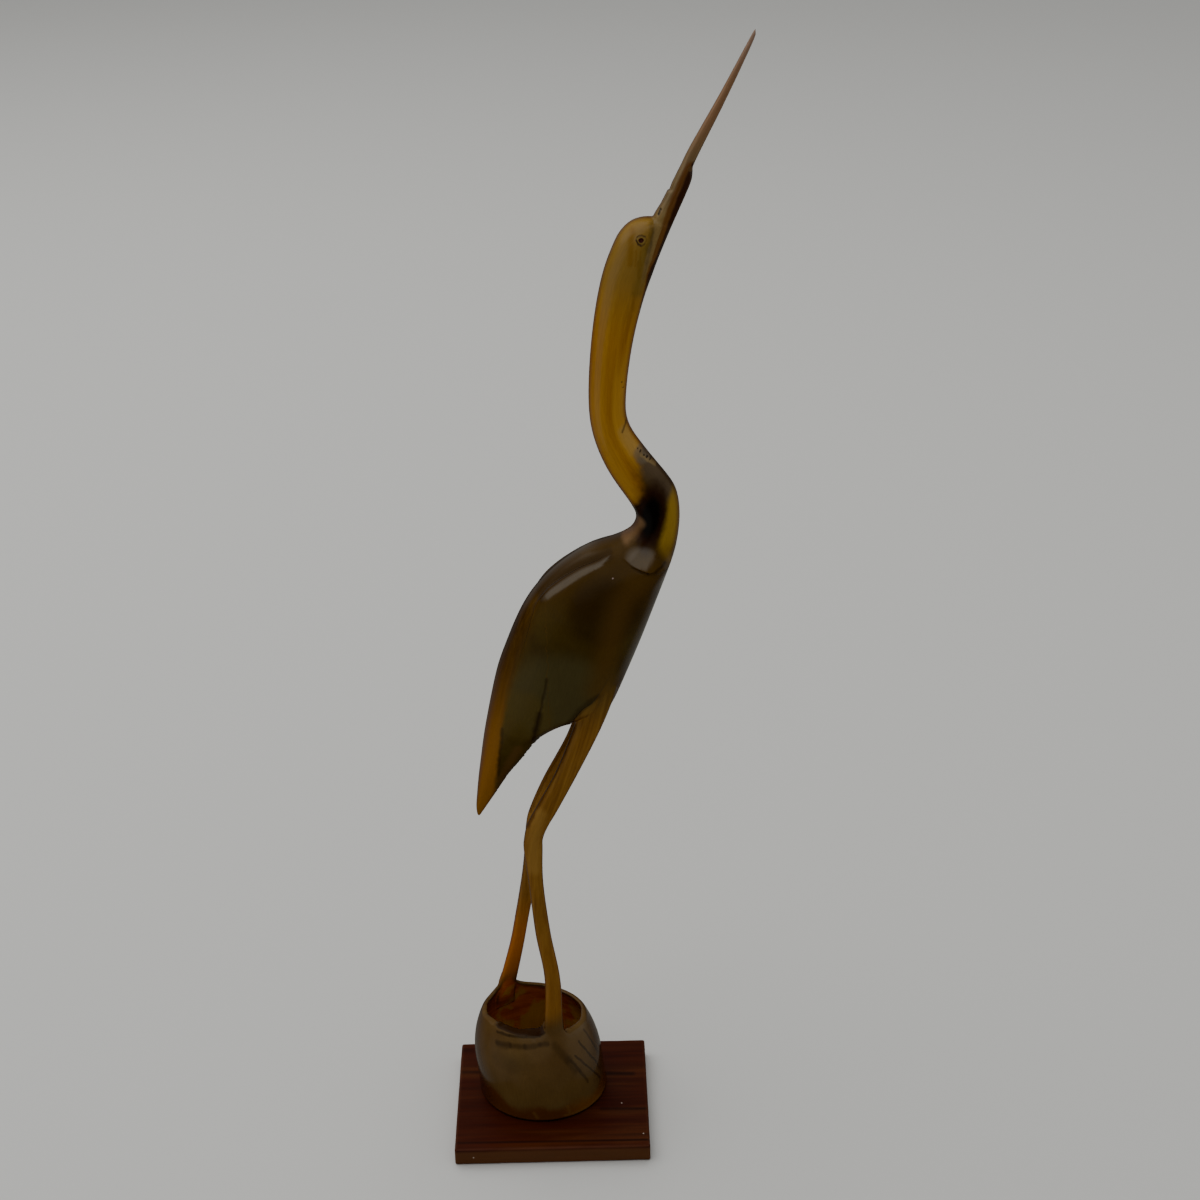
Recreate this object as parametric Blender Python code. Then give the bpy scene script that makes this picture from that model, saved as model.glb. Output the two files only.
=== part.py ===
"""A heron carved from one cattle horn, standing on a thin hardwood plinth.

The horn's solid tip is the bill and its middle the body. Two strips of the hollow wall are the legs,
and the wide mouth is the open pot under the feet. Metres, +Z up. The origin is the middle of the
plinth's underside, and the bird faces +X.
"""
import math

import bmesh
import bpy
import numpy as np
from mathutils import Matrix, Vector
from mathutils.bvhtree import BVHTree

# Plinth
PLINTH_LENGTH = 0.068
PLINTH_DEPTH = 0.060
PLINTH_THICKNESS = 0.0065
PLINTH_EDGE = 0.0006
# Heron, from the foot of the pot to the tip of the bill
HERON_HEIGHT = 0.3722
GLUE_GAP = 0.0003
# Pot, the horn's open mouth
POT_FOOT_RADIUS = 0.0230
POT_BELLY_RADIUS = 0.0226
POT_RIM_RADIUS = 0.0183
POT_HEIGHT = 0.0309
POT_WALL = 0.0032
POT_LEAN = 0.0033
POT_BACK_MARGIN = 0.0003
POT_SIDE_SHIFT = 0.0033
RIM_FALL_FORWARD = 0.0016
RIM_FALL_AWAY = 0.0018
# Legs, two strips that rise from the rim of the pot
NEAR_LEG_AZIMUTH = math.radians(-60)
FAR_LEG_AZIMUTH = math.radians(125)
NEAR_FLARE = 0.004
NEAR_FLARE_SPREAD = math.radians(12)
FAR_FLARE = 0.009
FAR_FLARE_SPREAD = math.radians(14.3)
LEG_ROOT_WIDTH = 0.0084
# Carving
RELIEF = 0.0005
COLLAR_GROOVE = 0.0006
CHEEK_GROOVE = 0.0004
EYE_RADIUS = 0.00135
EYE_PROUD = 0.0002
PUPIL_RADIUS = 0.0006
NOSTRIL_LENGTH = 0.0024

# Stations are thousandths of the heron's height: x from the middle of the foot, z from the foot.
# Trunk: back x, back z, front x, front z, half depth, from the forehead down to the tail's tip
TRUNK = (
    (111.8, 853.2, 126.8, 846.3, 9.1),
    (107.7, 853.3, 124.4, 840.9, 11.8),
    (101.0, 852.2, 121.4, 834.0, 13.7),
    (94.0, 849.2, 118.2, 826.2, 15.0),
    (87.0, 843.0, 115.0, 817.8, 15.9),
    (80.5, 833.0, 111.5, 808.2, 16.1),
    (69.8, 806.2, 103.7, 786.1, 16.1),
    (61.7, 763.4, 94.8, 750.9, 16.1),
    (57.2, 711.2, 88.9, 709.8, 16.1),
    (59.1, 673.9, 89.6, 680.5, 16.4),
    (70.9, 639.9, 104.6, 655.4, 17.5),
    (88.3, 611.8, 125.5, 627.4, 19.1),
    (93.6, 602.6, 131.4, 613.1, 19.9),
    (95.6, 596.0, 133.0, 597.0, 21.0),
    (94.6, 588.6, 131.9, 580.9, 22.6),
    (89.6, 581.0, 129.0, 564.8, 24.7),
    (79.0, 575.0, 124.4, 550.0, 27.4),
    (63.4, 570.6, 119.0, 534.7, 30.9),
    (47.8, 563.8, 112.6, 517.2, 34.1),
    (19.2, 542.4, 99.4, 481.5, 38.7),
    (-3.6, 512.9, 86.5, 449.2, 40.6),
    (-22.6, 468.4, 73.9, 419.7, 40.0),
    (-30.9, 442.0, 64.8, 411.0, 38.4),
    (-40.3, 398.2, 38.4, 407.6, 32.8),
    (-43.5, 380.7, 18.3, 396.8, 27.7),
    (-46.2, 363.2, 0.5, 376.5, 22.0),
    (-49.2, 343.1, -19.4, 353.0, 15.0),
    (-51.3, 325.6, -34.4, 329.0, 9.1),
    (-52.7, 310.9, -45.4, 308.2, 4.0),
    (-51.9, 302.0, -50.0, 300.9, 1.1),
)
# Upper and lower bill: top x, top z, under x, under z, half depth, from inside the head outwards
UPPER_BILL = (
    (104.2, 837.5, 117.7, 830.7, 7.5),
    (112.3, 855.2, 124.4, 848.7, 8.6),
    (117.9, 864.6, 129.2, 858.7, 7.8),
    (124.9, 875.6, 134.9, 870.5, 7.0),
    (127.8, 881.4, 136.8, 876.7, 6.4),
    (134.9, 895.6, 141.9, 891.7, 5.6),
    (142.0, 908.8, 148.0, 905.4, 4.8),
    (164.5, 950.1, 169.3, 947.6, 3.5),
    (186.9, 991.4, 189.4, 990.1, 2.0),
    (191.4, 1000.0, 192.6, 999.5, 0.7),
)
LOWER_BILL = (
    (108.3, 822.7, 116.3, 821.1, 6.7),
    (115.0, 840.1, 123.1, 837.7, 7.0),
    (122.8, 857.6, 130.8, 855.5, 6.4),
    (129.8, 873.2, 138.1, 871.8, 5.6),
    (134.9, 884.5, 142.7, 883.4, 4.8),
    (138.4, 894.7, 143.7, 892.3, 3.8),
)
# Legs: height, middle x, middle y, half width, half thickness, from inside the body to the shank
NEAR_LEG = (
    (451.5, 65.2, -15.9, 13.3, 8.1),
    (434.9, 61.5, -19.9, 13.7, 7.8),
    (401.9, 48.9, -22.6, 12.5, 7.0),
    (359.5, 29.4, -22.6, 11.5, 6.4),
    (320.0, 10.8, -23.1, 10.9, 6.4),
    (304.4, 3.6, -23.6, 9.8, 6.7),
    (291.3, -0.6, -23.9, 8.7, 7.0),
    (278.6, -1.4, -24.7, 8.2, 6.7),
    (243.3, 0.2, -26.4, 6.7, 5.9),
    (191.4, 5.1, -29.8, 7.0, 5.9),
    (143.3, 13.0, -33.9, 7.3, 5.9),
)
FAR_LEG = (
    (434.8, 62.7, 16.4, 13.6, 8.1),
    (414.4, 59.1, 19.1, 14.0, 7.8),
    (372.9, 42.3, 20.4, 12.2, 7.0),
    (326.6, 18.5, 20.4, 11.6, 6.4),
    (293.6, 4.5, 21.0, 9.8, 6.4),
    (277.0, -0.3, 21.5, 8.6, 6.7),
    (263.2, -1.9, 21.8, 8.2, 7.0),
    (226.6, -5.6, 23.6, 6.7, 6.2),
    (175.2, -14.8, 27.1, 6.2, 5.9),
    (137.6, -22.6, 30.1, 6.8, 5.9),
)
# The horn's own hollow, under the body: height, back x, front x, half depth
HOLLOW = (
    (336.4, -36.3, -12.6, 6.7),
    (352.5, -37.3, 8.9, 13.4),
    (374.0, -34.1, 30.4, 20.2),
    (395.5, -29.3, 41.1, 25.5),
    (417.0, -23.9, 50.5, 28.2),
    (438.5, -17.5, 55.9, 25.5),
    (460.0, -5.9, 55.9, 20.2),
    (481.5, 8.9, 49.2, 12.1),
    (497.6, 19.6, 38.4, 4.8),
)
# Outline of the folded wing, seen from the side
WING = (
    (112.0, 556.0), (98.0, 556.0), (89.0, 562.0), (81.0, 566.0), (72.0, 567.5), (56.0, 562.0),
    (38.0, 551.5), (25.0, 541.0), (12.0, 527.0), (3.0, 505.0), (-7.0, 478.0), (-15.0, 445.0),
    (-22.0, 405.0), (-28.0, 360.0), (-33.0, 330.0), (-22.0, 332.0), (5.0, 362.0), (30.0, 388.0),
    (46.0, 402.0), (53.0, 431.0), (64.5, 447.0), (84.0, 492.7), (97.5, 539.4),
)
# Carved lines on each flank, seen from the side: under the neck and behind the bill
COLLAR_LINE = ((86.0, 565.0), (93.0, 558.5), (102.0, 554.0), (111.0, 553.8), (119.0, 557.0), (124.5, 563.0))
CHEEK_LINE = ((111.5, 851.5), (109.7, 846.0), (107.1, 835.5), (104.6, 821.6), (101.3, 806.5))
EYE = (101.9, 839.2)
NOSTRIL = (116.8, 859.5)

SHARE = HERON_HEIGHT / 1000
FOOT_X = -POT_SIDE_SHIFT
FOOT_Y = PLINTH_DEPTH / 2 - POT_BACK_MARGIN - POT_FOOT_RADIUS
FOOT_Z = PLINTH_THICKNESS + GLUE_GAP
FOOT = Vector((FOOT_X, FOOT_Y, FOOT_Z))


def clear_scene():
    for item in list(bpy.data.objects):
        bpy.data.objects.remove(item, do_unlink=True)


def material(name, colour, roughness):
    """A Principled finish of one colour."""
    made = bpy.data.materials.new(name)
    made.use_nodes = True
    shader = made.node_tree.nodes["Principled BSDF"]
    shader.inputs["Base Color"].default_value = (*colour, 1.0)
    shader.inputs["Roughness"].default_value = roughness
    shader.inputs["Metallic"].default_value = 0.0
    made.diffuse_color = (*colour, 1.0)
    return made


def smooth_through(stations, steps):
    """Points on Catmull-Rom curves through the stations, with steps points for each stretch."""
    rows = np.array(stations, float)
    padded = np.vstack([2 * rows[0] - rows[1], rows, 2 * rows[-1] - rows[-2]])
    out = []
    for index in range(len(rows) - 1):
        before, start, end, after = padded[index:index + 4]
        for step in range(steps):
            t = step / steps
            out.append(0.5 * (2 * start + (end - before) * t
                              + (2 * before - 5 * start + 4 * end - after) * t ** 2
                              + (3 * start - before - 3 * end + after) * t ** 3))
    out.append(rows[-1])
    return np.array(out)


def mesh_object(name, grid, closed_both_ways=False):
    """A closed mesh from rows of ring points: capped at its two ends, or joined into a loop."""
    mesh = bmesh.new()
    rings = [[mesh.verts.new(point) for point in ring] for ring in grid]
    pairs = list(zip(rings, rings[1:]))
    if closed_both_ways:
        pairs.append((rings[-1], rings[0]))
    for lower, upper in pairs:
        for index in range(len(lower)):
            following = (index + 1) % len(lower)
            mesh.faces.new((lower[index], lower[following], upper[following], upper[index]))
    if not closed_both_ways:
        mesh.faces.new(rings[0])
        mesh.faces.new(rings[-1])
    bmesh.ops.recalc_face_normals(mesh, faces=mesh.faces)
    data = bpy.data.meshes.new(name)
    mesh.to_mesh(data)
    mesh.free()
    data.shade_smooth()
    made = bpy.data.objects.new(name, data)
    bpy.context.collection.objects.link(made)
    return made


def hide(tool):
    """Marks a piece as one that only shapes another."""
    tool.hide_render = True
    tool.display_type = "WIRE"
    return tool


def combine(target, tool, operation):
    change = target.modifiers.new(tool.name, "BOOLEAN")
    change.operation = operation
    change.solver = "EXACT"
    change.object = hide(tool)
    return target


def oval(count, power):
    """Unit points round a superellipse: power 2 is an ellipse, more is boxier."""
    angle = np.arange(count) * 2 * np.pi / count
    side = np.sign(np.cos(angle)) * np.abs(np.cos(angle)) ** (2 / power)
    depth = np.sign(np.sin(angle)) * np.abs(np.sin(angle)) ** (2 / power)
    return side, depth


def body_loft(name, stations, steps, count, power=2.0, proud=0.0):
    """A solid through ovals that stand across the bird's middle plane.

    Each station gives the oval's two ends in that plane and its half depth, and proud makes the
    whole solid fatter by that much.
    """
    rows = smooth_through(stations, steps) * SHARE
    side, depth = oval(count, power)
    grid = []
    for back_x, back_z, front_x, front_z, half_depth in rows:
        middle = np.array(((back_x + front_x) / 2, (back_z + front_z) / 2))
        reach = np.array(((back_x - front_x) / 2, (back_z - front_z) / 2))
        length = np.hypot(*reach)
        reach = reach * (length + proud) / length
        across = middle + side[:, None] * reach
        ring = np.column_stack([across[:, 0], depth * (half_depth + proud), across[:, 1]])
        grid.append(ring + np.array(FOOT))
    return mesh_object(name, grid)


def pot_radius(share):
    """Outer radius of the pot at a share of its height: flared foot, belly, then closing in."""
    foot_fade = 0.05
    widest = 0.42
    closing_power = 2.1
    if share < widest:
        return POT_BELLY_RADIUS + (POT_FOOT_RADIUS - POT_BELLY_RADIUS) * math.exp(-share / foot_fade)
    closing = (share - widest) / (1 - widest)
    return POT_BELLY_RADIUS - (POT_BELLY_RADIUS - POT_RIM_RADIUS) * closing ** closing_power


def rim_height(azimuth):
    """Height of the pot's rim, which slopes a little and rises towards the root of each leg."""
    height = POT_HEIGHT - RIM_FALL_FORWARD * math.cos(azimuth) - RIM_FALL_AWAY * math.sin(azimuth)
    for root, rise, spread in ((NEAR_LEG_AZIMUTH, NEAR_FLARE, NEAR_FLARE_SPREAD),
                               (FAR_LEG_AZIMUTH, FAR_FLARE, FAR_FLARE_SPREAD)):
        away = math.remainder(azimuth - root, 2 * math.pi)
        height += rise * math.exp(-(away / spread) ** 2)
    return height


def pot_point(azimuth, height, inset):
    """A point on the pot's wall, inset from its outer face. The leg roots go on straight up."""
    share = height / POT_HEIGHT
    last_curved = 1.12
    radius = pot_radius(min(share, last_curved)) - inset
    return Vector((FOOT_X - POT_LEAN * share + radius * math.cos(azimuth),
                   FOOT_Y + radius * math.sin(azimuth), FOOT_Z + height))


def pot_wall():
    """The ring of wall: up the outer face, over the rounded rim and down the inner face."""
    count = 56
    around = [index * 2 * math.pi / count for index in range(count)]
    outer = [(share, 0.0) for share in (0.0, 0.025, 0.07, 0.16, 0.3, 0.45, 0.6, 0.72, 0.82, 0.91, 0.975)]
    rim = [(1.0, 0.22), (1.0, 0.78)]
    inner = [(share, 1.0) for share in (0.975, 0.88, 0.72, 0.5, 0.25, 0.0)]
    grid = []
    for share, inset in outer + rim + inner:
        grid.append([pot_point(azimuth, share * rim_height(azimuth), inset * POT_WALL) for azimuth in around])
    return mesh_object("pot wall", grid, closed_both_ways=True)


def leg(name, stations, azimuth):
    """A strip of horn wall: level ovals from the body down, turning to lie along the pot's rim."""
    height, middle_x, middle_y, width, thickness = (smooth_through(stations, 2) * SHARE).T
    places = np.column_stack([middle_x + FOOT_X, middle_y + FOOT_Y, height + FOOT_Z])
    shoulder_share, root_share = 1.02, 0.72
    shoulder = pot_point(azimuth, shoulder_share * POT_HEIGHT, POT_WALL / 2)
    root = pot_point(azimuth, root_share * POT_HEIGHT, POT_WALL / 2)
    places = np.vstack([places, shoulder, root])
    shoulder_width, shoulder_thickness, root_thickness = 0.88, 0.94, 0.80
    width = np.append(width, np.array((shoulder_width, 1.0)) * LEG_ROOT_WIDTH / 2)
    thickness = np.append(thickness, np.array((shoulder_thickness, root_thickness)) * POT_WALL / 2)
    along_rim = math.atan2(-math.cos(azimuth), math.sin(azimuth))
    along_rim = math.remainder(along_rim, math.pi)
    knee_share = 0.45
    knee = places[0, 2] - knee_share * (places[0, 2] - places[-1, 2])
    turned = np.clip((knee - places[:, 2]) / (knee - places[-2, 2]), 0, 1)
    side, depth = oval(12, 2.5)
    grid = []
    for place, half_width, half_thickness, turn in zip(places, width, thickness, turned * along_rim):
        wide = np.array((math.cos(turn), math.sin(turn), 0.0))
        thin = np.array((-math.sin(turn), math.cos(turn), 0.0))
        grid.append(place + side[:, None] * half_width * wide + depth[:, None] * half_thickness * thin)
    return mesh_object(name, grid)


def hollow():
    """The tapering hollow of the horn, cut up into the body between the tail and the legs."""
    side, depth = oval(18, 2.0)
    grid = []
    for height, back, front, half_depth in smooth_through(HOLLOW, 2) * SHARE:
        reach = (front - back) / 2
        level = np.full(len(side), height)
        ring = np.column_stack([(back + front) / 2 + side * reach, depth * half_depth, level])
        grid.append(ring + np.array(FOOT))
    return mesh_object("hollow", grid)


def relief(name, outline, stations):
    """Low relief on both flanks: a fatter copy of the trunk, kept only inside the outline."""
    corners = smooth_through(outline + outline[:1], 2)[:-1] * SHARE
    beyond = 1.2
    reach = beyond * max(station[-1] for station in stations) * SHARE
    grid = []
    for offset in (-reach, reach):
        ring = np.column_stack([corners[:, 0], np.full(len(corners), offset), corners[:, 1]])
        grid.append(ring + np.array(FOOT))
    prism = mesh_object(name + " outline", grid)
    fat = body_loft(name, stations, 2, 24, 2.15, RELIEF)
    return combine(fat, prism, "INTERSECT")


def disc(name, place, facing, radius, half_height, segments):
    """A short round plug centred on place, with its axis along facing."""
    mesh = bmesh.new()
    bmesh.ops.create_cone(mesh, cap_ends=True, segments=segments, radius1=radius, radius2=radius,
                          depth=2 * half_height)
    turn = facing.to_track_quat("Z", "Y").to_matrix().to_4x4()
    bmesh.ops.transform(mesh, matrix=Matrix.Translation(place) @ turn, verts=mesh.verts)
    data = bpy.data.meshes.new(name)
    mesh.to_mesh(data)
    mesh.free()
    made = bpy.data.objects.new(name, data)
    bpy.context.collection.objects.link(made)
    return made


def surface_at(solid, spot, side):
    """Where a line from one side meets the solid at a spot of the side view, and which way it faces."""
    tree = BVHTree.FromObject(solid, bpy.context.evaluated_depsgraph_get())
    outside = HERON_HEIGHT / 10
    start = FOOT + Vector((spot[0] * SHARE, side * outside, spot[1] * SHARE))
    place, facing, _, _ = tree.ray_cast(start, Vector((0, -side, 0)))
    return place, facing


def groove(heron, name, line, radius):
    """A round-bottomed line carved into both flanks: a thin tube laid along the surface is cut away."""
    side, facing_out = oval(8, 2.0)
    raised = 0.35
    for flank_side, flank in ((-1, "near "), (1, "far ")):
        met = [surface_at(heron, spot, flank_side) for spot in smooth_through(line, 2)]
        places = np.array([place for place, _ in met])
        facings = np.array([facing for _, facing in met])
        along = np.gradient(places, axis=0)
        along /= np.linalg.norm(along, axis=1)[:, None]
        across = np.cross(along, facings)
        end = 0.15
        taper = np.sin(np.linspace(end, math.pi - end, len(places))) ** 0.5
        grid = []
        for place, facing, aside, share in zip(places, facings, across, taper):
            ring = side[:, None] * aside + facing_out[:, None] * facing
            grid.append(place + (raised * facing + ring) * radius * share)
        combine(heron, mesh_object(flank + name, grid), "DIFFERENCE")


def carve_head(heron):
    """Eyes with drilled pupils, and slit nostrils that follow the bill, on both sides of the head."""
    inner, outer = np.array(UPPER_BILL[1]), np.array(UPPER_BILL[3])
    along = Vector((outer[0] - inner[0], 0.0, outer[1] - inner[1])).normalized()
    slimness = 0.2
    for side, flank in ((-1, "near"), (1, "far")):
        place, facing = surface_at(heron, EYE, side)
        eye = disc(flank + " eye", place, facing, EYE_RADIUS, EYE_PROUD, 18)
        pupil = disc(flank + " pupil", place, facing, PUPIL_RADIUS, 2 * EYE_PROUD, 12)
        place, facing = surface_at(heron, NOSTRIL, side)
        slit = disc(flank + " nostril", place, facing, NOSTRIL_LENGTH / 2, NOSTRIL_LENGTH / 8, 10)
        narrow = along.cross(facing).normalized()
        slim = Matrix.Scale(slimness, 4, narrow)
        slit.data.transform(Matrix.Translation(place) @ slim @ Matrix.Translation(-place))
        combine(heron, eye, "UNION")
        combine(heron, pupil, "DIFFERENCE")
        combine(heron, slit, "DIFFERENCE")


def make_heron():
    heron = body_loft("horn_heron", TRUNK, 2, 24, 2.15)
    combine(heron, relief("wing", WING, TRUNK), "UNION")
    combine(heron, hollow(), "DIFFERENCE")
    combine(heron, body_loft("upper bill", UPPER_BILL, 2, 12), "UNION")
    combine(heron, body_loft("lower bill", LOWER_BILL, 2, 12), "UNION")
    carve_head(heron)
    groove(heron, "cheek line", CHEEK_LINE, CHEEK_GROOVE)
    groove(heron, "collar line", COLLAR_LINE, COLLAR_GROOVE)
    combine(heron, leg("near leg", NEAR_LEG, NEAR_LEG_AZIMUTH), "UNION")
    combine(heron, leg("far leg", FAR_LEG, FAR_LEG_AZIMUTH), "UNION")
    combine(heron, pot_wall(), "UNION")
    heron.data.materials.append(material("polished horn", (0.36, 0.22, 0.07), 0.28))


def make_plinth():
    """A flat board with its edges lightly eased."""
    mesh = bmesh.new()
    bmesh.ops.create_cube(mesh, size=1.0)
    bmesh.ops.scale(mesh, vec=(PLINTH_LENGTH, PLINTH_DEPTH, PLINTH_THICKNESS), verts=mesh.verts)
    bmesh.ops.translate(mesh, vec=(0, 0, PLINTH_THICKNESS / 2), verts=mesh.verts)
    data = bpy.data.meshes.new("plinth")
    mesh.to_mesh(data)
    mesh.free()
    plinth = bpy.data.objects.new("plinth", data)
    bpy.context.collection.objects.link(plinth)
    eased = plinth.modifiers.new("eased edges", "BEVEL")
    eased.width = PLINTH_EDGE
    eased.segments = 3
    data.materials.append(material("red-brown hardwood", (0.16, 0.045, 0.02), 0.45))


clear_scene()
make_heron()
make_plinth()
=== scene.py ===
"""A heron carved from one polished cattle horn, standing on its pot on a red-brown hardwood plinth.

Metres, +Z up, the bird faces +X, and the origin is the middle of the plinth's underside.
"""
import math

import bmesh
import bpy
import numpy as np
from mathutils import Matrix, Vector


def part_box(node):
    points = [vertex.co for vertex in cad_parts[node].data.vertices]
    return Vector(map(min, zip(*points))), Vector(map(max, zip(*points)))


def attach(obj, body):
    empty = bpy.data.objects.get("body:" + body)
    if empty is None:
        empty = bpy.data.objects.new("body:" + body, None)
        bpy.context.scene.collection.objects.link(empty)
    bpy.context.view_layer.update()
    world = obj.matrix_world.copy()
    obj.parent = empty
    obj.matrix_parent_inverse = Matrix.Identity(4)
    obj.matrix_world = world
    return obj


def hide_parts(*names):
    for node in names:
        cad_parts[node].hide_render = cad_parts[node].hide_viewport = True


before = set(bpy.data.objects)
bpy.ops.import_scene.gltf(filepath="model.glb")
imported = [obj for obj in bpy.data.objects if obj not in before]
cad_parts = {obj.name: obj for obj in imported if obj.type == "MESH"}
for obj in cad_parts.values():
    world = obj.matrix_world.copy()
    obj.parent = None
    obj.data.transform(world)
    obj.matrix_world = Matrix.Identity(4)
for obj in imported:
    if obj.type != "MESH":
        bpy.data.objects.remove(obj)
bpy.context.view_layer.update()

# Plinth
# The real piece is a thin sawn board of dense red-brown hardwood, its grain running from left to right.
# Its edges were eased by hand and it was rubbed to a satin finish. The pot is glued on top of it.
PLINTH_EASE = 0.0007
PLINTH_WOBBLE = 0.00006
PLINTH_WEAR = 0.0006
# Where a darker streak of the grain begins and ends, and its half width
DARK_GRAIN = (
    ((0.0170, 0.0105, 0.0065), (0.0290, 0.0098, 0.0065), 0.0016),
    ((0.0175, -0.0095, 0.0065), (0.0330, -0.0100, 0.0065), 0.0012),
    ((-0.0340, -0.0262, 0.0065), (0.0340, -0.0268, 0.0065), 0.0009),
    ((-0.0330, 0.0130, 0.0065), (-0.0260, 0.0126, 0.0065), 0.0013),
)
DUST = ((0.0246, -0.0066, 0.0065), (0.0318, -0.0234, 0.0065), (-0.0275, -0.0300, 0.0030))
DUST_RADIUS = 0.00024
plinth_low, plinth_high = (np.array(corner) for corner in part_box("plinth"))


def placed(name, data):
    """A new object at the origin that holds a mesh, a lamp or a camera."""
    piece = bpy.data.objects.new(name, data)
    bpy.context.scene.collection.objects.link(piece)
    return piece


def mesh_piece(name, points, faces):
    """A new object at the origin from points and faces, with its faces turned outwards."""
    data = bpy.data.meshes.new(name)
    data.from_pydata(points, [], faces)
    shape = bmesh.new()
    shape.from_mesh(data)
    bmesh.ops.remove_doubles(shape, verts=shape.verts, dist=1e-7)
    bmesh.ops.recalc_face_normals(shape, faces=shape.faces)
    shape.to_mesh(data)
    shape.free()
    data.shade_smooth()
    return placed(name, data)


def board(low, high, ease, wobble):
    """Points and faces of a board with eased edges.

    Each of the six sides is a grid. A point keeps its place inside the board less the easing, and is
    pushed out from there by the easing, so the edges and corners come out round. Slow sine waves let
    the sides sink in by the wobble, as hand rubbing does.
    """
    half = (high - low) / 2
    middle = (high + low) / 2
    spacing = 0.0006
    points, faces, used = [], [], 0
    for axis in range(3):
        first, second = (axis + 1) % 3, (axis + 2) % 3
        lines = []
        for other in (first, second):
            flat = np.linspace(-half[other] + ease, half[other] - ease, int(2 * half[other] / spacing) + 2)
            curl = half[other] - ease + ease * np.linspace(0.2, 1.0, 5)
            lines.append(np.concatenate([-curl[::-1], flat, curl]))
        across, along = np.meshgrid(*lines, indexing="ij")
        for facing in (-1, 1):
            grid = np.zeros(across.shape + (3,))
            grid[..., axis] = facing * half[axis]
            grid[..., first] = across
            grid[..., second] = along
            core = np.clip(grid, -(half - ease), half - ease)
            out = grid - core
            grid = core + ease * out / np.linalg.norm(out, axis=-1, keepdims=True)
            rows, columns = across.shape
            index = used + np.arange(rows * columns).reshape(rows, columns)
            quads = np.stack([index[:-1, :-1], index[1:, :-1], index[1:, 1:], index[:-1, 1:]], -1)
            points.append(grid.reshape(-1, 3))
            faces += quads.reshape(-1, 4).tolist()
            used += rows * columns
    points = np.concatenate(points)
    shrink = 1 + (np.sin(points[:, 0] * 190 + 1.3) * np.sin(points[:, 1] * 240 + 0.4)
                  + np.sin(points[:, 0] * 430 + points[:, 1] * 350)) / 2
    points -= points / half * (wobble * shrink / 2)[:, None]
    return points + middle, faces


def put(tree, kind, sockets=None, **settings):
    """One node, with its settings and its sockets filled. A socket takes a value or another node's output."""
    made = tree.nodes.new(kind)
    for name, value in settings.items():
        setattr(made, name, value)
    for name, value in (sockets or {}).items():
        if isinstance(value, bpy.types.NodeSocket):
            tree.links.new(value, made.inputs[name])
        else:
            made.inputs[name].default_value = value
    return made


def sums(tree, operation, *values):
    """A Math node's result."""
    return put(tree, "ShaderNodeMath", dict(enumerate(values)), operation=operation).outputs[0]


def vectors(tree, operation, first, second):
    """A Vector Math node's outputs."""
    return put(tree, "ShaderNodeVectorMath", {0: first, 1: second}, operation=operation).outputs


def scaled(tree, place, amount):
    """A place or an offset times an amount."""
    return put(tree, "ShaderNodeVectorMath", {0: place, "Scale": amount}, operation="SCALE").outputs[0]


def noise(tree, place, scale, detail, roughness=0.5):
    """A Noise Texture's outputs."""
    return put(tree, "ShaderNodeTexNoise", {"Vector": place, "Scale": scale, "Detail": detail,
                                            "Roughness": roughness}).outputs


def spread(tree, value, low, high, to_low=0.0, to_high=1.0):
    """A value between low and high, brought smoothly between two others."""
    return put(tree, "ShaderNodeMapRange", {"Value": value, "From Min": low, "From Max": high,
                                            "To Min": to_low, "To Max": to_high},
               interpolation_type="SMOOTHSTEP").outputs["Result"]


def laid_over(tree, amount, under, over, way="MIX"):
    """One colour laid over another by an amount from 0 to 1."""
    mixed = put(tree, "ShaderNodeMix", {0: amount}, data_type="RGBA", blend_type=way)
    for socket, colour in ((6, under), (7, over)):
        if isinstance(colour, bpy.types.NodeSocket):
            tree.links.new(colour, mixed.inputs[socket])
        else:
            mixed.inputs[socket].default_value = (*colour, 1.0)
    return mixed.outputs[2]


def shaded(tree, colour, value):
    """A colour multiplied by a value."""
    grey = put(tree, "ShaderNodeCombineColor", {"Red": value, "Green": value, "Blue": value}).outputs[0]
    return laid_over(tree, 1.0, colour, grey, "MULTIPLY")


def toned(tree, value, stops):
    """Colours along a value: each stop is a place from 0 to 1 and a colour."""
    made = put(tree, "ShaderNodeValToRGB", {"Fac": value})
    line = made.color_ramp
    while len(line.elements) < len(stops):
        line.elements.new(1.0)
    for element, (place, colour) in zip(line.elements, stops):
        element.position = place
        element.color = (*colour, 1.0)
    return made.outputs["Color"]


def new_group(name, inputs, outputs):
    """An empty node group with named inputs and outputs, and its two end nodes."""
    group = bpy.data.node_groups.new(name, "ShaderNodeTree")
    for label, kind, value in inputs:
        made = group.interface.new_socket(label, in_out="INPUT", socket_type="NodeSocket" + kind)
        made.default_value = value
    for label, kind in outputs:
        group.interface.new_socket(label, in_out="OUTPUT", socket_type="NodeSocket" + kind)
    return group, group.nodes.new("NodeGroupInput"), group.nodes.new("NodeGroupOutput")


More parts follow.
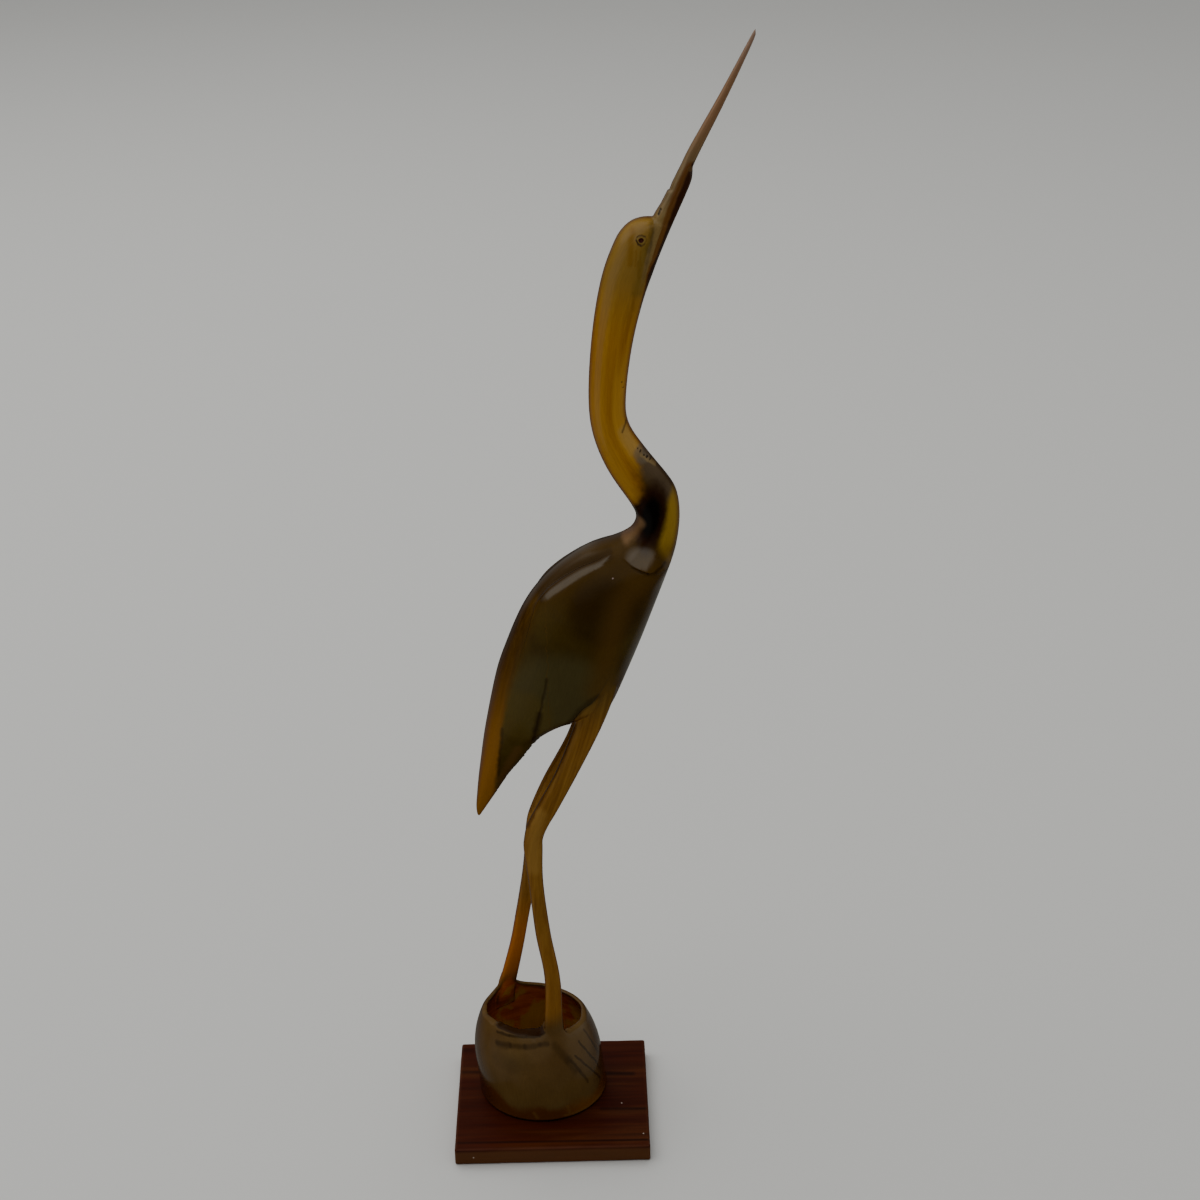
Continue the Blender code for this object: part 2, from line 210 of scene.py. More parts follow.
def fibre_group():
    """Long fibres, for wood grain and for the growth lines of horn.

    Place is in metres with its first axis along the fibre. Two noises are stretched along that axis:
    Broad has bands of about Size, and Fine has threads of a seventh of that.
    """
    group, into, out = new_group(
        "long fibres",
        [("Place", "Vector", (0, 0, 0)), ("Size", "Float", 0.003), ("Stretch", "Float", 12.0)],
        [("Broad", "Float"), ("Fine", "Float")])
    shorten = sums(group, "DIVIDE", 1.0, into.outputs["Stretch"])
    squeeze = put(group, "ShaderNodeCombineXYZ", {"X": shorten, "Y": 1.0, "Z": 1.0}).outputs[0]
    place = vectors(group, "MULTIPLY", into.outputs["Place"], squeeze)[0]
    scale = sums(group, "DIVIDE", 1.0, into.outputs["Size"])
    bend = noise(group, place, sums(group, "MULTIPLY", scale, 0.35), 2.0)
    bent = vectors(group, "ADD", place, scaled(group, bend["Color"], 0.0016))[0]
    broad = noise(group, bent, scale, 3.0, 0.55)
    fine = noise(group, bent, sums(group, "MULTIPLY", scale, 7.0), 4.0, 0.6)
    group.links.new(broad["Fac"], out.inputs["Broad"])
    group.links.new(fine["Fac"], out.inputs["Fine"])
    return group


def spot_group():
    """A soft round spot: Mask is 1 nearer to Centre than Radius, and fades over a third of it."""
    group, into, out = new_group(
        "spot", [("Place", "Vector", (0, 0, 0)), ("Centre", "Vector", (0, 0, 0)), ("Radius", "Float", 0.001)],
        [("Mask", "Float")])
    away = vectors(group, "DISTANCE", into.outputs["Place"], into.outputs["Centre"])["Value"]
    share = sums(group, "DIVIDE", away, into.outputs["Radius"])
    group.links.new(spread(group, share, 0.8, 1.3, 1.0, 0.0), out.inputs["Mask"])
    return group


def stroke_group():
    """A drawn stroke: Mask is 1 on the line between From and To, and fades out at Width from it."""
    group, into, out = new_group(
        "stroke", [("Place", "Vector", (0, 0, 0)), ("From", "Vector", (0, 0, 0)), ("To", "Vector", (0, 0, 1)),
                   ("Width", "Float", 0.001)],
        [("Mask", "Float")])
    passed = vectors(group, "SUBTRACT", into.outputs["Place"], into.outputs["From"])["Vector"]
    reach = vectors(group, "SUBTRACT", into.outputs["To"], into.outputs["From"])["Vector"]
    part = sums(group, "DIVIDE", vectors(group, "DOT_PRODUCT", passed, reach)["Value"],
                vectors(group, "DOT_PRODUCT", reach, reach)["Value"])
    part = put(group, "ShaderNodeClamp", {"Value": part}).outputs[0]
    away = vectors(group, "DISTANCE", passed, scaled(group, reach, part))["Value"]
    share = sums(group, "DIVIDE", away, into.outputs["Width"])
    group.links.new(spread(group, share, 0.15, 1.0, 1.0, 0.0), out.inputs["Mask"])
    return group


long_fibres = fibre_group()
spot = spot_group()
stroke = stroke_group()


def fibres_of(tree, place, size, stretch):
    """The long fibres' outputs."""
    return put(tree, "ShaderNodeGroup", {"Place": place, "Size": size, "Stretch": stretch},
               node_tree=long_fibres).outputs


def round_spot(tree, place, centre, radius):
    """The mask of one spot."""
    return put(tree, "ShaderNodeGroup", {"Place": place, "Centre": centre, "Radius": radius},
               node_tree=spot).outputs["Mask"]


def drawn_stroke(tree, place, begin, finish, width):
    """The mask of one drawn stroke."""
    return put(tree, "ShaderNodeGroup", {"Place": place, "From": begin, "To": finish, "Width": width},
               node_tree=stroke).outputs["Mask"]


def share_of(tree, name):
    """A number that was stored for each point."""
    return put(tree, "ShaderNodeAttribute", attribute_name=name).outputs["Fac"]


def times(tree, *values):
    """The product of several values."""
    product = values[0]
    for value in values[1:]:
        product = sums(tree, "MULTIPLY", product, value)
    return product


def new_material(name):
    """A material, its node tree and its shader."""
    made = bpy.data.materials.new(name)
    made.use_nodes = True
    return made, made.node_tree, made.node_tree.nodes["Principled BSDF"]


def hardwood():
    """Dense red-brown hardwood under a rubbed satin finish, with dark streaks, pores and pale worn edges."""
    made, tree, shader = new_material("rubbed hardwood")
    place = put(tree, "ShaderNodeTexCoord").outputs["Object"]
    grain = fibres_of(tree, place, 0.0085, 8.0)
    fibres = fibres_of(tree, place, 0.0015, 24.0)
    colour = toned(tree, grain["Broad"], [
        (0.30, (0.022, 0.0030, 0.0010)), (0.43, (0.037, 0.0052, 0.0014)), (0.55, (0.044, 0.0076, 0.0018)),
        (0.66, (0.058, 0.0135, 0.0028)), (0.76, (0.040, 0.0096, 0.0026))])
    colour = shaded(tree, colour, spread(tree, fibres["Broad"], 0.35, 0.65, 0.84, 1.12))
    pores = spread(tree, fibres["Fine"], 0.36, 0.29)
    colour = laid_over(tree, times(tree, pores, 0.5), colour, (0.014, 0.003, 0.001))
    for begin, finish, width in DARK_GRAIN:
        streak = times(tree, drawn_stroke(tree, place, begin, finish, width),
                       spread(tree, fibres["Broad"], 0.3, 0.6, 0.35, 0.9))
        colour = laid_over(tree, streak, colour, (0.013, 0.003, 0.0015))
    rubbed = times(tree, share_of(tree, "worn_edge"), spread(tree, grain["Fine"], 0.3, 0.7, 0.15, 0.5))
    colour = laid_over(tree, rubbed, colour, (0.130, 0.045, 0.022))
    colour = laid_over(tree, times(tree, share_of(tree, "sawn_side"), 0.60), colour, (0.125, 0.0480, 0.0140))
    for speck in DUST:
        dust = times(tree, round_spot(tree, place, speck, DUST_RADIUS), 0.75)
        colour = laid_over(tree, dust, colour, (0.60, 0.50, 0.42))
    tree.links.new(colour, shader.inputs["Base Color"])
    rough = spread(tree, grain["Fine"], 0.3, 0.7, 0.40, 0.56)
    tree.links.new(sums(tree, "ADD", rough, times(tree, pores, 0.2)), shader.inputs["Roughness"])
    height = sums(tree, "SUBTRACT", times(tree, fibres["Broad"], 0.5), pores)
    bump = put(tree, "ShaderNodeBump", {"Height": height, "Strength": 0.25, "Distance": 0.00010})
    tree.links.new(bump.outputs["Normal"], shader.inputs["Normal"])
    shader.inputs["Specular IOR Level"].default_value = 0.12
    return made


def give(piece, name, values):
    """Stores one number, or three, for each point of a piece, for its material to read."""
    kind, field = ("FLOAT", "value") if values.ndim == 1 else ("FLOAT_VECTOR", "vector")
    kept = piece.data.attributes.new(name, kind, "POINT")
    kept.data.foreach_set(field, np.ascontiguousarray(values, np.float32).ravel())


def array_of(items, name, width, kind=float):
    """One property of all points or edges of a mesh as an array, with a row for each."""
    flat = np.empty(len(items) * width, kind)
    items.foreach_get(name, flat)
    return flat.reshape(-1, width)


def points_of(data):
    """All points of a mesh as an array."""
    return array_of(data.vertices, "co", 3)


def hump(value, middle, width):
    """A bell: 1 at the middle, and 1/e at the width to either side of it."""
    return np.exp(-((value - middle) / width) ** 2)


plinth_board = mesh_piece("plinth_board", *board(plinth_low, plinth_high, PLINTH_EASE, PLINTH_WOBBLE))
board_points = points_of(plinth_board.data)
from_sides = np.sort(np.minimum(board_points - plinth_low, plinth_high - board_points), axis=1)
give(plinth_board, "worn_edge", hump(from_sides[:, 0] + from_sides[:, 1], 0, PLINTH_WEAR))
inward = (plinth_high[2] - PLINTH_EASE - board_points[:, 2]) / PLINTH_EASE
give(plinth_board, "sawn_side", np.clip(inward, 0, 1))
plinth_board.data.materials.append(hardwood())
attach(plinth_board, "root")
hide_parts("plinth")

# Neck, body and tail
# The middle of the horn, carved to a heron with an S-shaped neck, a long folded-wing body and a pointed
# tail. The sections are ovals that stand across the bird's middle plane.
heron_low, heron_high = (np.array(corner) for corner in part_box("horn_heron"))
SHARE = (heron_high[2] - heron_low[2]) / 1000
FOOT = np.array((-0.0033, 0.0067, heron_low[2]))
# Thousandths of the heron's height: back x, back z, front x, front z, half depth
TRUNK = (
    (111.8, 853.2, 126.8, 846.3, 9.6),
    (107.7, 853.9, 124.4, 840.9, 11.3),
    (100.4, 853.2, 121.4, 834.0, 13.4),
    (93.2, 850.3, 118.2, 826.2, 15.0),
    (86.1, 843.8, 115.0, 817.8, 15.9),
    (79.9, 833.3, 111.5, 808.2, 16.1),
    (69.8, 806.2, 103.7, 786.1, 16.1),
    (61.7, 763.4, 94.8, 750.9, 16.1),
    (57.2, 711.2, 88.9, 709.8, 16.1),
    (59.1, 673.9, 89.6, 680.5, 16.4),
    (70.9, 639.9, 104.6, 655.4, 17.5),
    (88.3, 611.8, 125.5, 627.4, 19.1),
    (93.6, 602.6, 131.4, 613.1, 19.9),
    (95.6, 596.0, 133.0, 597.0, 21.0),
    (94.6, 588.6, 131.9, 580.9, 22.6),
    (89.6, 581.0, 129.0, 564.8, 24.7),
    (79.0, 575.0, 124.4, 550.0, 27.4),
    (63.4, 569.8, 119.0, 534.7, 30.9),
    (47.8, 563.8, 112.6, 517.2, 34.1),
    (19.2, 542.4, 99.4, 481.5, 38.7),
    (-3.6, 512.9, 86.5, 449.2, 40.6),
    (-22.6, 468.4, 73.9, 419.7, 40.0),
    (-30.9, 442.0, 64.8, 411.0, 38.4),
    (-40.3, 398.2, 38.8, 406.9, 32.8),
    (-43.5, 380.7, 19.6, 394.6, 27.7),
    (-46.2, 363.2, 2.7, 374.2, 22.0),
    (-49.2, 343.1, -17.2, 350.8, 15.0),
    (-51.3, 325.6, -33.2, 327.5, 9.1),
    (-52.7, 310.9, -45.4, 308.2, 4.0),
    (-51.9, 302.0, -50.0, 300.9, 1.1),
)


def smooth_run(stations, count, ease=0.0):
    """Rows on a Catmull-Rom curve through the stations, at even steps from the first to the last.

    Easing then takes a bell-weighted mean along the curve, over that many steps, with the ends held.
    """
    rows = np.array(stations, float)
    padded = np.vstack([2 * rows[0] - rows[1], rows, 2 * rows[-1] - rows[-2]])
    place = np.linspace(0, len(rows) - 1, count)
    index = np.minimum(place.astype(int), len(rows) - 2)
    part = (place - index)[:, None]
    before, start, end, after = (padded[index + shift] for shift in range(4))
    run = 0.5 * (2 * start + (end - before) * part + (2 * before - 5 * start + 4 * end - after) * part ** 2
                 + (3 * start - before - 3 * end + after) * part ** 3)
    if ease:
        reach = int(3 * ease)
        bell = np.exp(-0.5 * (np.arange(-reach, reach + 1) / ease) ** 2)
        bell /= bell.sum()
        longer = np.vstack([2 * run[0] - run[reach:0:-1], run, 2 * run[-1] - run[-2:-reach - 2:-1]])
        run = np.stack([np.convolve(column, bell, "valid") for column in longer.T], 1)
    return run


def oval(count, power):
    """Unit points round a superellipse: power 2 is an ellipse, more is boxier."""
    angle = np.arange(count) * 2 * np.pi / count
    side = np.sign(np.cos(angle)) * np.abs(np.cos(angle)) ** (2 / power)
    depth = np.sign(np.sin(angle)) * np.abs(np.sin(angle)) ** (2 / power)
    return side, depth


def body_rings(stations, count, around, power, ease=0.0):
    """Rings across the bird's middle plane: an oval from each station's back to its front."""
    back_x, back_z, front_x, front_z, half_depth = (smooth_run(stations, count, ease) * SHARE).T[..., None]
    side, depth = oval(around, power)
    rings = np.stack(np.broadcast_arrays(
        (back_x + front_x) / 2 + side * (back_x - front_x) / 2,
        depth * half_depth,
        (back_z + front_z) / 2 + side * (back_z - front_z) / 2), -1)
    return rings + FOOT


def skin(rings):
    """Points and faces of a tube of rings: quads between neighbours and a fan over each end."""
    count, around = rings.shape[:2]
    step = np.arange(around)
    following = (step + 1) % around
    row = np.arange(count - 1)[:, None] * around
    quads = np.stack([row + step, row + following, row + around + following, row + around + step], -1)
    last_row = (count - 1) * around
    first = np.stack([np.full(around, count * around), following, step], -1)
    last = np.stack([np.full(around, count * around + 1), last_row + step, last_row + following], -1)
    points = np.vstack([rings.reshape(-1, 3), rings[0].mean(0), rings[-1].mean(0)])
    return points, quads.reshape(-1, 4).tolist() + first.tolist() + last.tolist()


trunk = mesh_piece("trunk", *skin(body_rings(TRUNK, 360, 96, 2.15, 2.5)))

# The horn's own hollow
# The horn is hollow up to the middle of the body. Between the tail and the legs the wall is cut away,
# so the hollow shows from below as a smooth tapering cave.
# Thousandths: height, back x, front x, half depth
HOLLOW = (
    (319.0, -40.5, -36.0, 1.2),
    (336.4, -37.6, -14.6, 6.2),
    (352.5, -37.3, 8.9, 12.0),
    (374.0, -34.1, 30.4, 18.2),
    (395.5, -29.3, 41.1, 24.0),
    (417.0, -23.9, 50.5, 28.2),
    (438.5, -17.5, 55.9, 25.5),
    (460.0, -5.9, 55.9, 20.2),
    (481.5, 8.9, 49.2, 12.1),
    (497.6, 19.6, 38.4, 4.8),
)


def level_rings(stations, count, around):
    """Level ellipses between a back and a front, one above the other."""
    height, back, front, half_depth = (smooth_run(stations, count) * SHARE).T[..., None]
    side, depth = oval(around, 2.0)
    rings = np.stack(np.broadcast_arrays(
        (back + front) / 2 + side * (front - back) / 2, depth * half_depth, height), -1)
    return rings + FOOT


def finished_mesh(piece):
    """The mesh of a piece with its modifiers carried out."""
    graph = bpy.context.evaluated_depsgraph_get()
    return bpy.data.meshes.new_from_object(piece.evaluated_get(graph))


def take_away(piece):
    """Removes a piece that only shaped another."""
    data = piece.data
    bpy.data.objects.remove(piece)
    bpy.data.meshes.remove(data)


cave = mesh_piece("cave", *skin(level_rings(HOLLOW, 90, 72)))
cut = trunk.modifiers.new("cave", "BOOLEAN")
cut.operation = "DIFFERENCE"
cut.solver = "EXACT"
cut.object = cave
carved_trunk = finished_mesh(trunk)

# Bill
# The horn's solid tip. The upper bill is a long four-sided spike, and the lower one a short dark strip
# along its underside that ends blunt.
# Thousandths: top x, top z, under x, under z, half depth
UPPER_BILL = (
    (104.2, 837.5, 117.7, 830.7, 7.5),
    (112.3, 855.2, 124.4, 848.7, 9.2),
    (117.9, 864.6, 129.2, 858.7, 8.1),
    (123.7, 876.0, 135.5, 870.2, 7.0),
    (126.3, 882.0, 137.5, 876.4, 6.5),
    (133.8, 896.1, 142.7, 891.3, 5.8),
    (140.6, 909.4, 148.9, 905.0, 5.0),
    (164.2, 950.2, 170.0, 947.2, 3.6),
    (186.7, 991.5, 189.9, 989.8, 2.1),
    (191.4, 1000.0, 192.6, 999.5, 0.7),
)
LOWER_BILL = (
    (108.3, 822.7, 116.3, 821.1, 6.7),
    (115.0, 840.1, 123.1, 837.7, 7.0),
    (122.8, 857.6, 130.8, 855.5, 6.4),
    (129.8, 873.2, 138.1, 871.8, 5.6),
    (134.9, 884.5, 142.7, 883.4, 4.8),
    (138.4, 894.7, 143.7, 892.3, 3.8),
)
upper_bill = mesh_piece("upper bill", *skin(body_rings(UPPER_BILL, 200, 48, 2.3, 1.0)))
lower_bill = mesh_piece("lower bill", *skin(body_rings(LOWER_BILL, 80, 48, 2.3)))

# Legs
# Two strips of the hollow horn's wall, left standing between the body and the pot, with a knuckle for
# the knee. They lean apart below it and turn to lie along the pot's rim, which flares up to meet them.
NEAR_AZIMUTH = math.radians(-60)
FAR_AZIMUTH = math.radians(125)
LEG_ROOT_WIDTH = 0.0084
# Where a leg runs into the pot's wall: shares of the pot's height, of the root's width and of the wall
LEG_ENDS = ((1.02, 0.88, 0.94), (0.72, 1.0, 0.80))
KNEE_SHARE = 0.45
# Thousandths: height, middle x, middle y, half width, half thickness
NEAR_LEG = (
    (451.5, 65.2, -15.9, 13.3, 8.1),
    (434.9, 61.5, -19.9, 13.7, 7.8),
    (401.9, 49.9, -22.6, 12.3, 7.0),
    (359.5, 32.0, -22.6, 10.3, 6.3),
    (320.0, 11.8, -23.1, 10.4, 6.4),
    (304.4, 3.6, -23.6, 9.8, 6.7),
    (291.3, -0.6, -23.9, 8.7, 7.0),
    (278.6, -1.4, -24.7, 8.6, 6.7),
    (243.3, 0.2, -26.4, 6.7, 5.9),
    (191.4, 5.1, -29.8, 7.0, 5.9),
    (143.3, 12.4, -33.9, 7.3, 5.9),
)
FAR_LEG = (
    (434.8, 62.7, 16.4, 13.6, 8.1),
    (414.4, 59.1, 19.1, 14.0, 7.8),
    (372.9, 43.8, 20.4, 12.0, 7.0),
    (326.6, 19.6, 20.4, 11.3, 6.4),
    (293.6, 4.5, 21.0, 9.8, 6.4),
    (277.0, -0.3, 21.5, 8.6, 6.7),
    (263.2, -1.9, 21.8, 8.2, 7.0),
    (226.6, -6.6, 23.6, 7.2, 6.2),
    (175.2, -15.7, 27.1, 6.5, 5.9),
    (137.6, -22.6, 30.1, 6.8, 5.9),
)
POT_FOOT_RADIUS = 0.0230
POT_BELLY_RADIUS = 0.0226
POT_RIM_RADIUS = 0.0183
POT_HEIGHT = 0.0309
POT_WALL = 0.0032
POT_LEAN = 0.0033
RIM_FALL_FORWARD = 0.0016
RIM_FALL_AWAY = 0.0018
# Azimuth, how far the rim rises there, and over what angle: at the two legs' roots and along the far side
RIM_FLARES = (
    (NEAR_AZIMUTH, 0.0040, math.radians(12)),
    (FAR_AZIMUTH, 0.0086, math.radians(14.3)),
    (math.radians(103), 0.0013, math.radians(30)),
    (math.radians(-137), 0.0006, math.radians(3)),
    (math.radians(-46), -0.0012, math.radians(4)),
    (math.radians(-92), 0.0006, math.radians(26)),
)
# Where the wall is thickest, beside the near leg's root
RIM_SWELL = math.radians(-80)
RIM_SWELL_REACH = math.radians(14)
RIM_ROUND = 0.0009


def pot_radius(share):
    """Outer radius at a share of the pot's height: a flared foot, the belly, then closing in to the rim."""
    foot_fade, widest, closing_power = 0.05, 0.42, 2.1
    low = POT_BELLY_RADIUS + (POT_FOOT_RADIUS - POT_BELLY_RADIUS) * np.exp(-share / foot_fade)
    closing = np.clip((share - widest) / (1 - widest), 0, None)
    return low - (POT_BELLY_RADIUS - POT_RIM_RADIUS) * closing ** closing_power


def pot_places(azimuth, height, inset):
    """Points on the pot's wall, inset from its outer face. The pot leans back a little as it rises."""
    share = height / POT_HEIGHT
    radius = pot_radius(np.minimum(share, 1.12)) - inset
    return np.stack(np.broadcast_arrays(
        FOOT[0] - POT_LEAN * share + radius * np.cos(azimuth),
        FOOT[1] + radius * np.sin(azimuth),
        FOOT[2] + height), -1)


def leg_rings(stations, azimuth, count, around):
    """Level superellipses along the leg, turned below the knee until their width lies along the rim."""
    height, middle_x, middle_y, width, thickness = (np.array(stations) * SHARE).T
    places = np.column_stack([middle_x + FOOT[0], middle_y + FOOT[1], height + FOOT[2]])
    for height_share, width_share, wall_share in LEG_ENDS:
        places = np.vstack([places, pot_places(azimuth, height_share * POT_HEIGHT, POT_WALL / 2)])
        width = np.append(width, width_share * LEG_ROOT_WIDTH / 2)
        thickness = np.append(thickness, wall_share * POT_WALL / 2)
    knee = places[0, 2] - KNEE_SHARE * (places[0, 2] - places[-1, 2])
    turn = np.clip((knee - places[:, 2]) / (knee - places[-2, 2]), 0, 1)
    turn *= math.remainder(math.atan2(-math.cos(azimuth), math.sin(azimuth)), math.pi)
    run = smooth_run(np.column_stack([places, width, thickness, turn]), count)
    place, width, thickness, turn = run[:, None, :3], run[:, 3, None], run[:, 4, None], run[:, 5, None]
    side, depth = oval(around, 2.5)
    wide, thin = side * width, depth * thickness
    return place + np.stack([np.cos(turn) * wide - np.sin(turn) * thin,
                             np.sin(turn) * wide + np.cos(turn) * thin,
                             np.zeros_like(wide)], -1)


near_leg = mesh_piece("near leg", *skin(leg_rings(NEAR_LEG, NEAR_AZIMUTH, 260, 40)))
far_leg = mesh_piece("far leg", *skin(leg_rings(FAR_LEG, FAR_AZIMUTH, 260, 40)))

# Pot
# The horn's wide open mouth, cut off square and left as a round open pot under the feet. Its wall is
# thick in front and thinner at the sides, and the rim is rounded, uneven and rises into the legs.


def rim_height(azimuth):
    """Height of the rim: it slopes a little, rises in a bell towards each leg, and waves by hand."""
    height = POT_HEIGHT - RIM_FALL_FORWARD * np.cos(azimuth) - RIM_FALL_AWAY * np.sin(azimuth)
    for root, rise, reach in RIM_FLARES:
        away = np.remainder(azimuth - root + np.pi, 2 * np.pi) - np.pi
        height = height + rise * hump(away, 0, reach)
    return height + 0.00018 * np.sin(5 * azimuth + 1.0) + 0.00012 * np.sin(11 * azimuth)


def pot_rings(around, wall_rows, rim_rows):
    """Rings of the wall: up the outer face, over a flat rim with rounded edges and down the inner face.

    The wall's thickness is its mean less a share of the azimuth's sine and a smaller share of the cosine of
    twice the azimuth, so it is thickest in front. It also swells in a bell beside the near leg.
    """
    azimuth = np.arange(around) * 2 * np.pi / around
    by_leg = hump(azimuth, 2 * np.pi + RIM_SWELL, RIM_SWELL_REACH)
    wall = POT_WALL * (0.75 - 0.32 * np.sin(azimuth) - 0.12 * np.cos(2 * azimuth) + 0.30 * by_leg)
    top = rim_height(azimuth)
    rising = np.linspace(0, 1, wall_rows)[:, None]
    bend = np.linspace(0, np.pi, rim_rows + 2)[1:-1, None]
    side_top = top - RIM_ROUND
    outer = pot_places(azimuth, rising * side_top, 0.0)
    over = np.sign(np.cos(bend)) * np.abs(np.cos(bend)) ** 0.6
    rim = pot_places(azimuth, side_top + np.sin(bend) ** 0.6 * RIM_ROUND, wall / 2 - over * wall / 2)
    inner = pot_places(azimuth, rising[::-1] * side_top, wall)
    return np.concatenate([outer, rim, inner])


def ring_skin(rings):
    """Points and faces of rings that close on themselves both ways, like a ring's own skin."""
    count, around = rings.shape[:2]
    index = np.arange(count * around).reshape(count, around)
    over, beside = np.roll(index, -1, 0), np.roll(index, -1, 1)
    quads = np.stack([index, beside, np.roll(over, -1, 1), over], -1)
    return rings.reshape(-1, 3), quads.reshape(-1, 4).tolist()


pot = mesh_piece("pot", *ring_skin(pot_rings(240, 70, 14)))

# One piece of horn
# All of these are carved from the same horn, so they become one skin here: it is rebuilt from small
# even facets, and the places where one form grows out of another are worn smooth.
FACET = 0.00042
# Heights in thousandths between which legs and pot, legs and body, and head and bill are worn into each
# other, and how many rounds of it
WORN = (((78, 150), 22), ((322, 470), 26), ((830, 868), 26))
MOST_FACETS = 190000


def joined(name, meshes):
    """One object that holds several meshes."""
    shape = bmesh.new()
    for data in meshes:
        shape.from_mesh(data)
    data = bpy.data.meshes.new(name)
    shape.to_mesh(data)
    shape.free()
    return placed(name, data)


def worn_smooth(points, edges, weight, rounds):
    """Each round moves a point towards the mean of its neighbours and then a little further back out.

    That wears creases round without making the whole thinner. Weight says how much each point moves.
    """
    count = len(points)
    ends = np.concatenate([edges[:, 0], edges[:, 1]])
    others = np.concatenate([edges[:, 1], edges[:, 0]])
    degree = np.bincount(ends, minlength=count)
    for _ in range(rounds):
        for pull in (0.55, -0.56):
            mean = np.stack([np.bincount(ends, points[others, axis], count) for axis in range(3)], 1)
            points = points + pull * weight[:, None] * (mean / degree[:, None] - points)
    return points


def set_points(data, points):
    """Moves all points of a mesh."""
    data.vertices.foreach_set("co", points.ravel())
    data.update()


def edges_of(data):
    """The two points of each edge."""
    return array_of(data.edges, "vertices", 2, np.int32)


rough_heron = joined("rough heron", [carved_trunk, upper_bill.data, lower_bill.data, near_leg.data,
                                     far_leg.data, pot.data])
rebuild = rough_heron.modifiers.new("even facets", "REMESH")
rebuild.mode = "VOXEL"
rebuild.voxel_size = FACET
heron_mesh = finished_mesh(rough_heron)
for shaped in (trunk, cave, upper_bill, lower_bill, near_leg, far_leg, pot, rough_heron):
    take_away(shaped)
bpy.data.meshes.remove(carved_trunk)
skin_points = worn_smooth(points_of(heron_mesh), edges_of(heron_mesh), np.ones(len(heron_mesh.vertices)), 5)
for (low, high), rounds in WORN:
    up = (skin_points[:, 2] - FOOT[2]) / SHARE
    weight = np.clip(np.minimum(up - low, high - up) / 12, 0, 1)
    skin_points = worn_smooth(skin_points, edges_of(heron_mesh), weight, rounds)
set_points(heron_mesh, skin_points)
heron_mesh.shade_smooth()

# Carving
# The wings, the cape of the neck, the thighs, cheeks, eyes and nostrils are cut into the skin with a
# knife and small files, and polished over. Both sides are carved alike.
# Lines in thousandths of the height, forwards and up, as they show from either side
WING_EDGE = (
    (84.0, 571.0), (76.0, 569.5), (69.0, 567.0), (63.9, 564.6), (55.4, 561.0), (46.8, 556.9), (38.2, 551.7),
    (29.5, 545.8), (20.8, 538.8), (15.5, 533.4), (11.9, 528.8), (8.3, 523.0), (4.6, 513.0), (0.9, 500.8),
    (-2.9, 488.2), (-6.7, 477.1), (-14.7, 445.2),
)
CAPE_EDGE = (
    (128.0, 565.0), (122.1, 558.2), (118.5, 555.2), (112.4, 553.2), (104.6, 554.0), (97.8, 556.6),
    (91.0, 560.2), (85.2, 564.5), (79.4, 567.4),
)
THIGH_EDGE = (
    (32.0, 402.0), (44.0, 425.0), (54.6, 432.4), (64.5, 446.0), (74.5, 466.0), (84.2, 492.7), (97.5, 539.4),
)
# Shares of a line's length and, in millimetres, how high or wide its edge is there or how deep it is cut
WING_RISE = ((0, 0.05, 0.16, 0.35, 0.46, 0.58, 0.85, 1), (0, 0.25, 1.1, 1.45, 1.2, 0.45, 0.2, 0))
CAPE_RISE = ((0, 0.25, 0.55, 0.72, 0.88, 1), (0, 1.8, 1.8, 1.0, 0.2, 0))
WING_BEVEL = ((0, 0.05, 0.20, 0.35, 0.46, 0.56, 1), (1.2, 1.7, 2.7, 3.1, 2.6, 1.1, 0.8))
THIGH_RISE = ((0, 0.12, 0.30, 0.50), (0.4, 0.4, 0.2, 0))
CHEEK_CUT = ((0, 0.1, 0.6, 1), (0.09, 0.15, 0.12, 0))
CHEEK_HOLLOW = ((0, 0.12, 0.25, 0.45, 0.65, 0.85, 1), (0, 0.55, 1.2, 1.5, 1.1, 0.5, 0))
GAPE_CUT = ((0, 0.05, 0.5, 0.75), (0.07, 0.14, 0.14, 0))
FEATHER_LINE = ((16.2, 459.5), (10.0, 430.0), (2.0, 393.9))
TAIL_LINE = ((-24.8, 405.0), (-26.0, 391.0), (-27.9, 377.0), (-30.8, 352.4))
CHEEK_LINE = ((112.5, 853.8), (109.9, 847.0), (107.3, 834.0), (104.8, 820.0), (101.3, 805.0), (97.0, 788.0))
GAPE_LINE = (
    (142.5, 895.5), (136.4, 885.3), (132.4, 876.8), (128.3, 868.2), (125.1, 860.2), (121.9, 852.3),
    (118.5, 844.4), (116.5, 836.2), (113.6, 826.0), (109.5, 814.0), (106.0, 802.0), (101.4, 782.8),
)
EYE = (101.9, 839.2)
# Height of the nick in the ridge of the bill, in thousandths
BILL_STEP = 874.5
NOSTRIL = ((115.6, 857.5), (118.0, 861.5))
# How far round a carved line, the eye, a nostril and a pit the skin gets more points, in millimetres
LINE_REACH, EYE_REACH, NOSTRIL_REACH, PIT_REACH = 0.9, 2.1, 1.5, 0.8
# Forwards, up, and radius in millimetres
PITS = (
    (85.0, 719.3, 0.22), (85.8, 713.6, 0.20), (99.7, 657.4, 0.30), (102.6, 653.6, 0.26),
    (105.2, 651.6, 0.34), (107.7, 648.9, 0.26), (97.2, 660.3, 0.20), (92.0, 693.0, 0.16),
)


def swell(value, low, high):
    """Rises smoothly from 0 at low to 1 at high."""
    part = np.clip((value - low) / (high - low), 0, 1)
    return part * part * (3 - 2 * part)


def seen_from_side(points):
    """Where points lie forwards and up, in thousandths of the height."""
    return ((points - FOOT) / SHARE)[:, ::2]


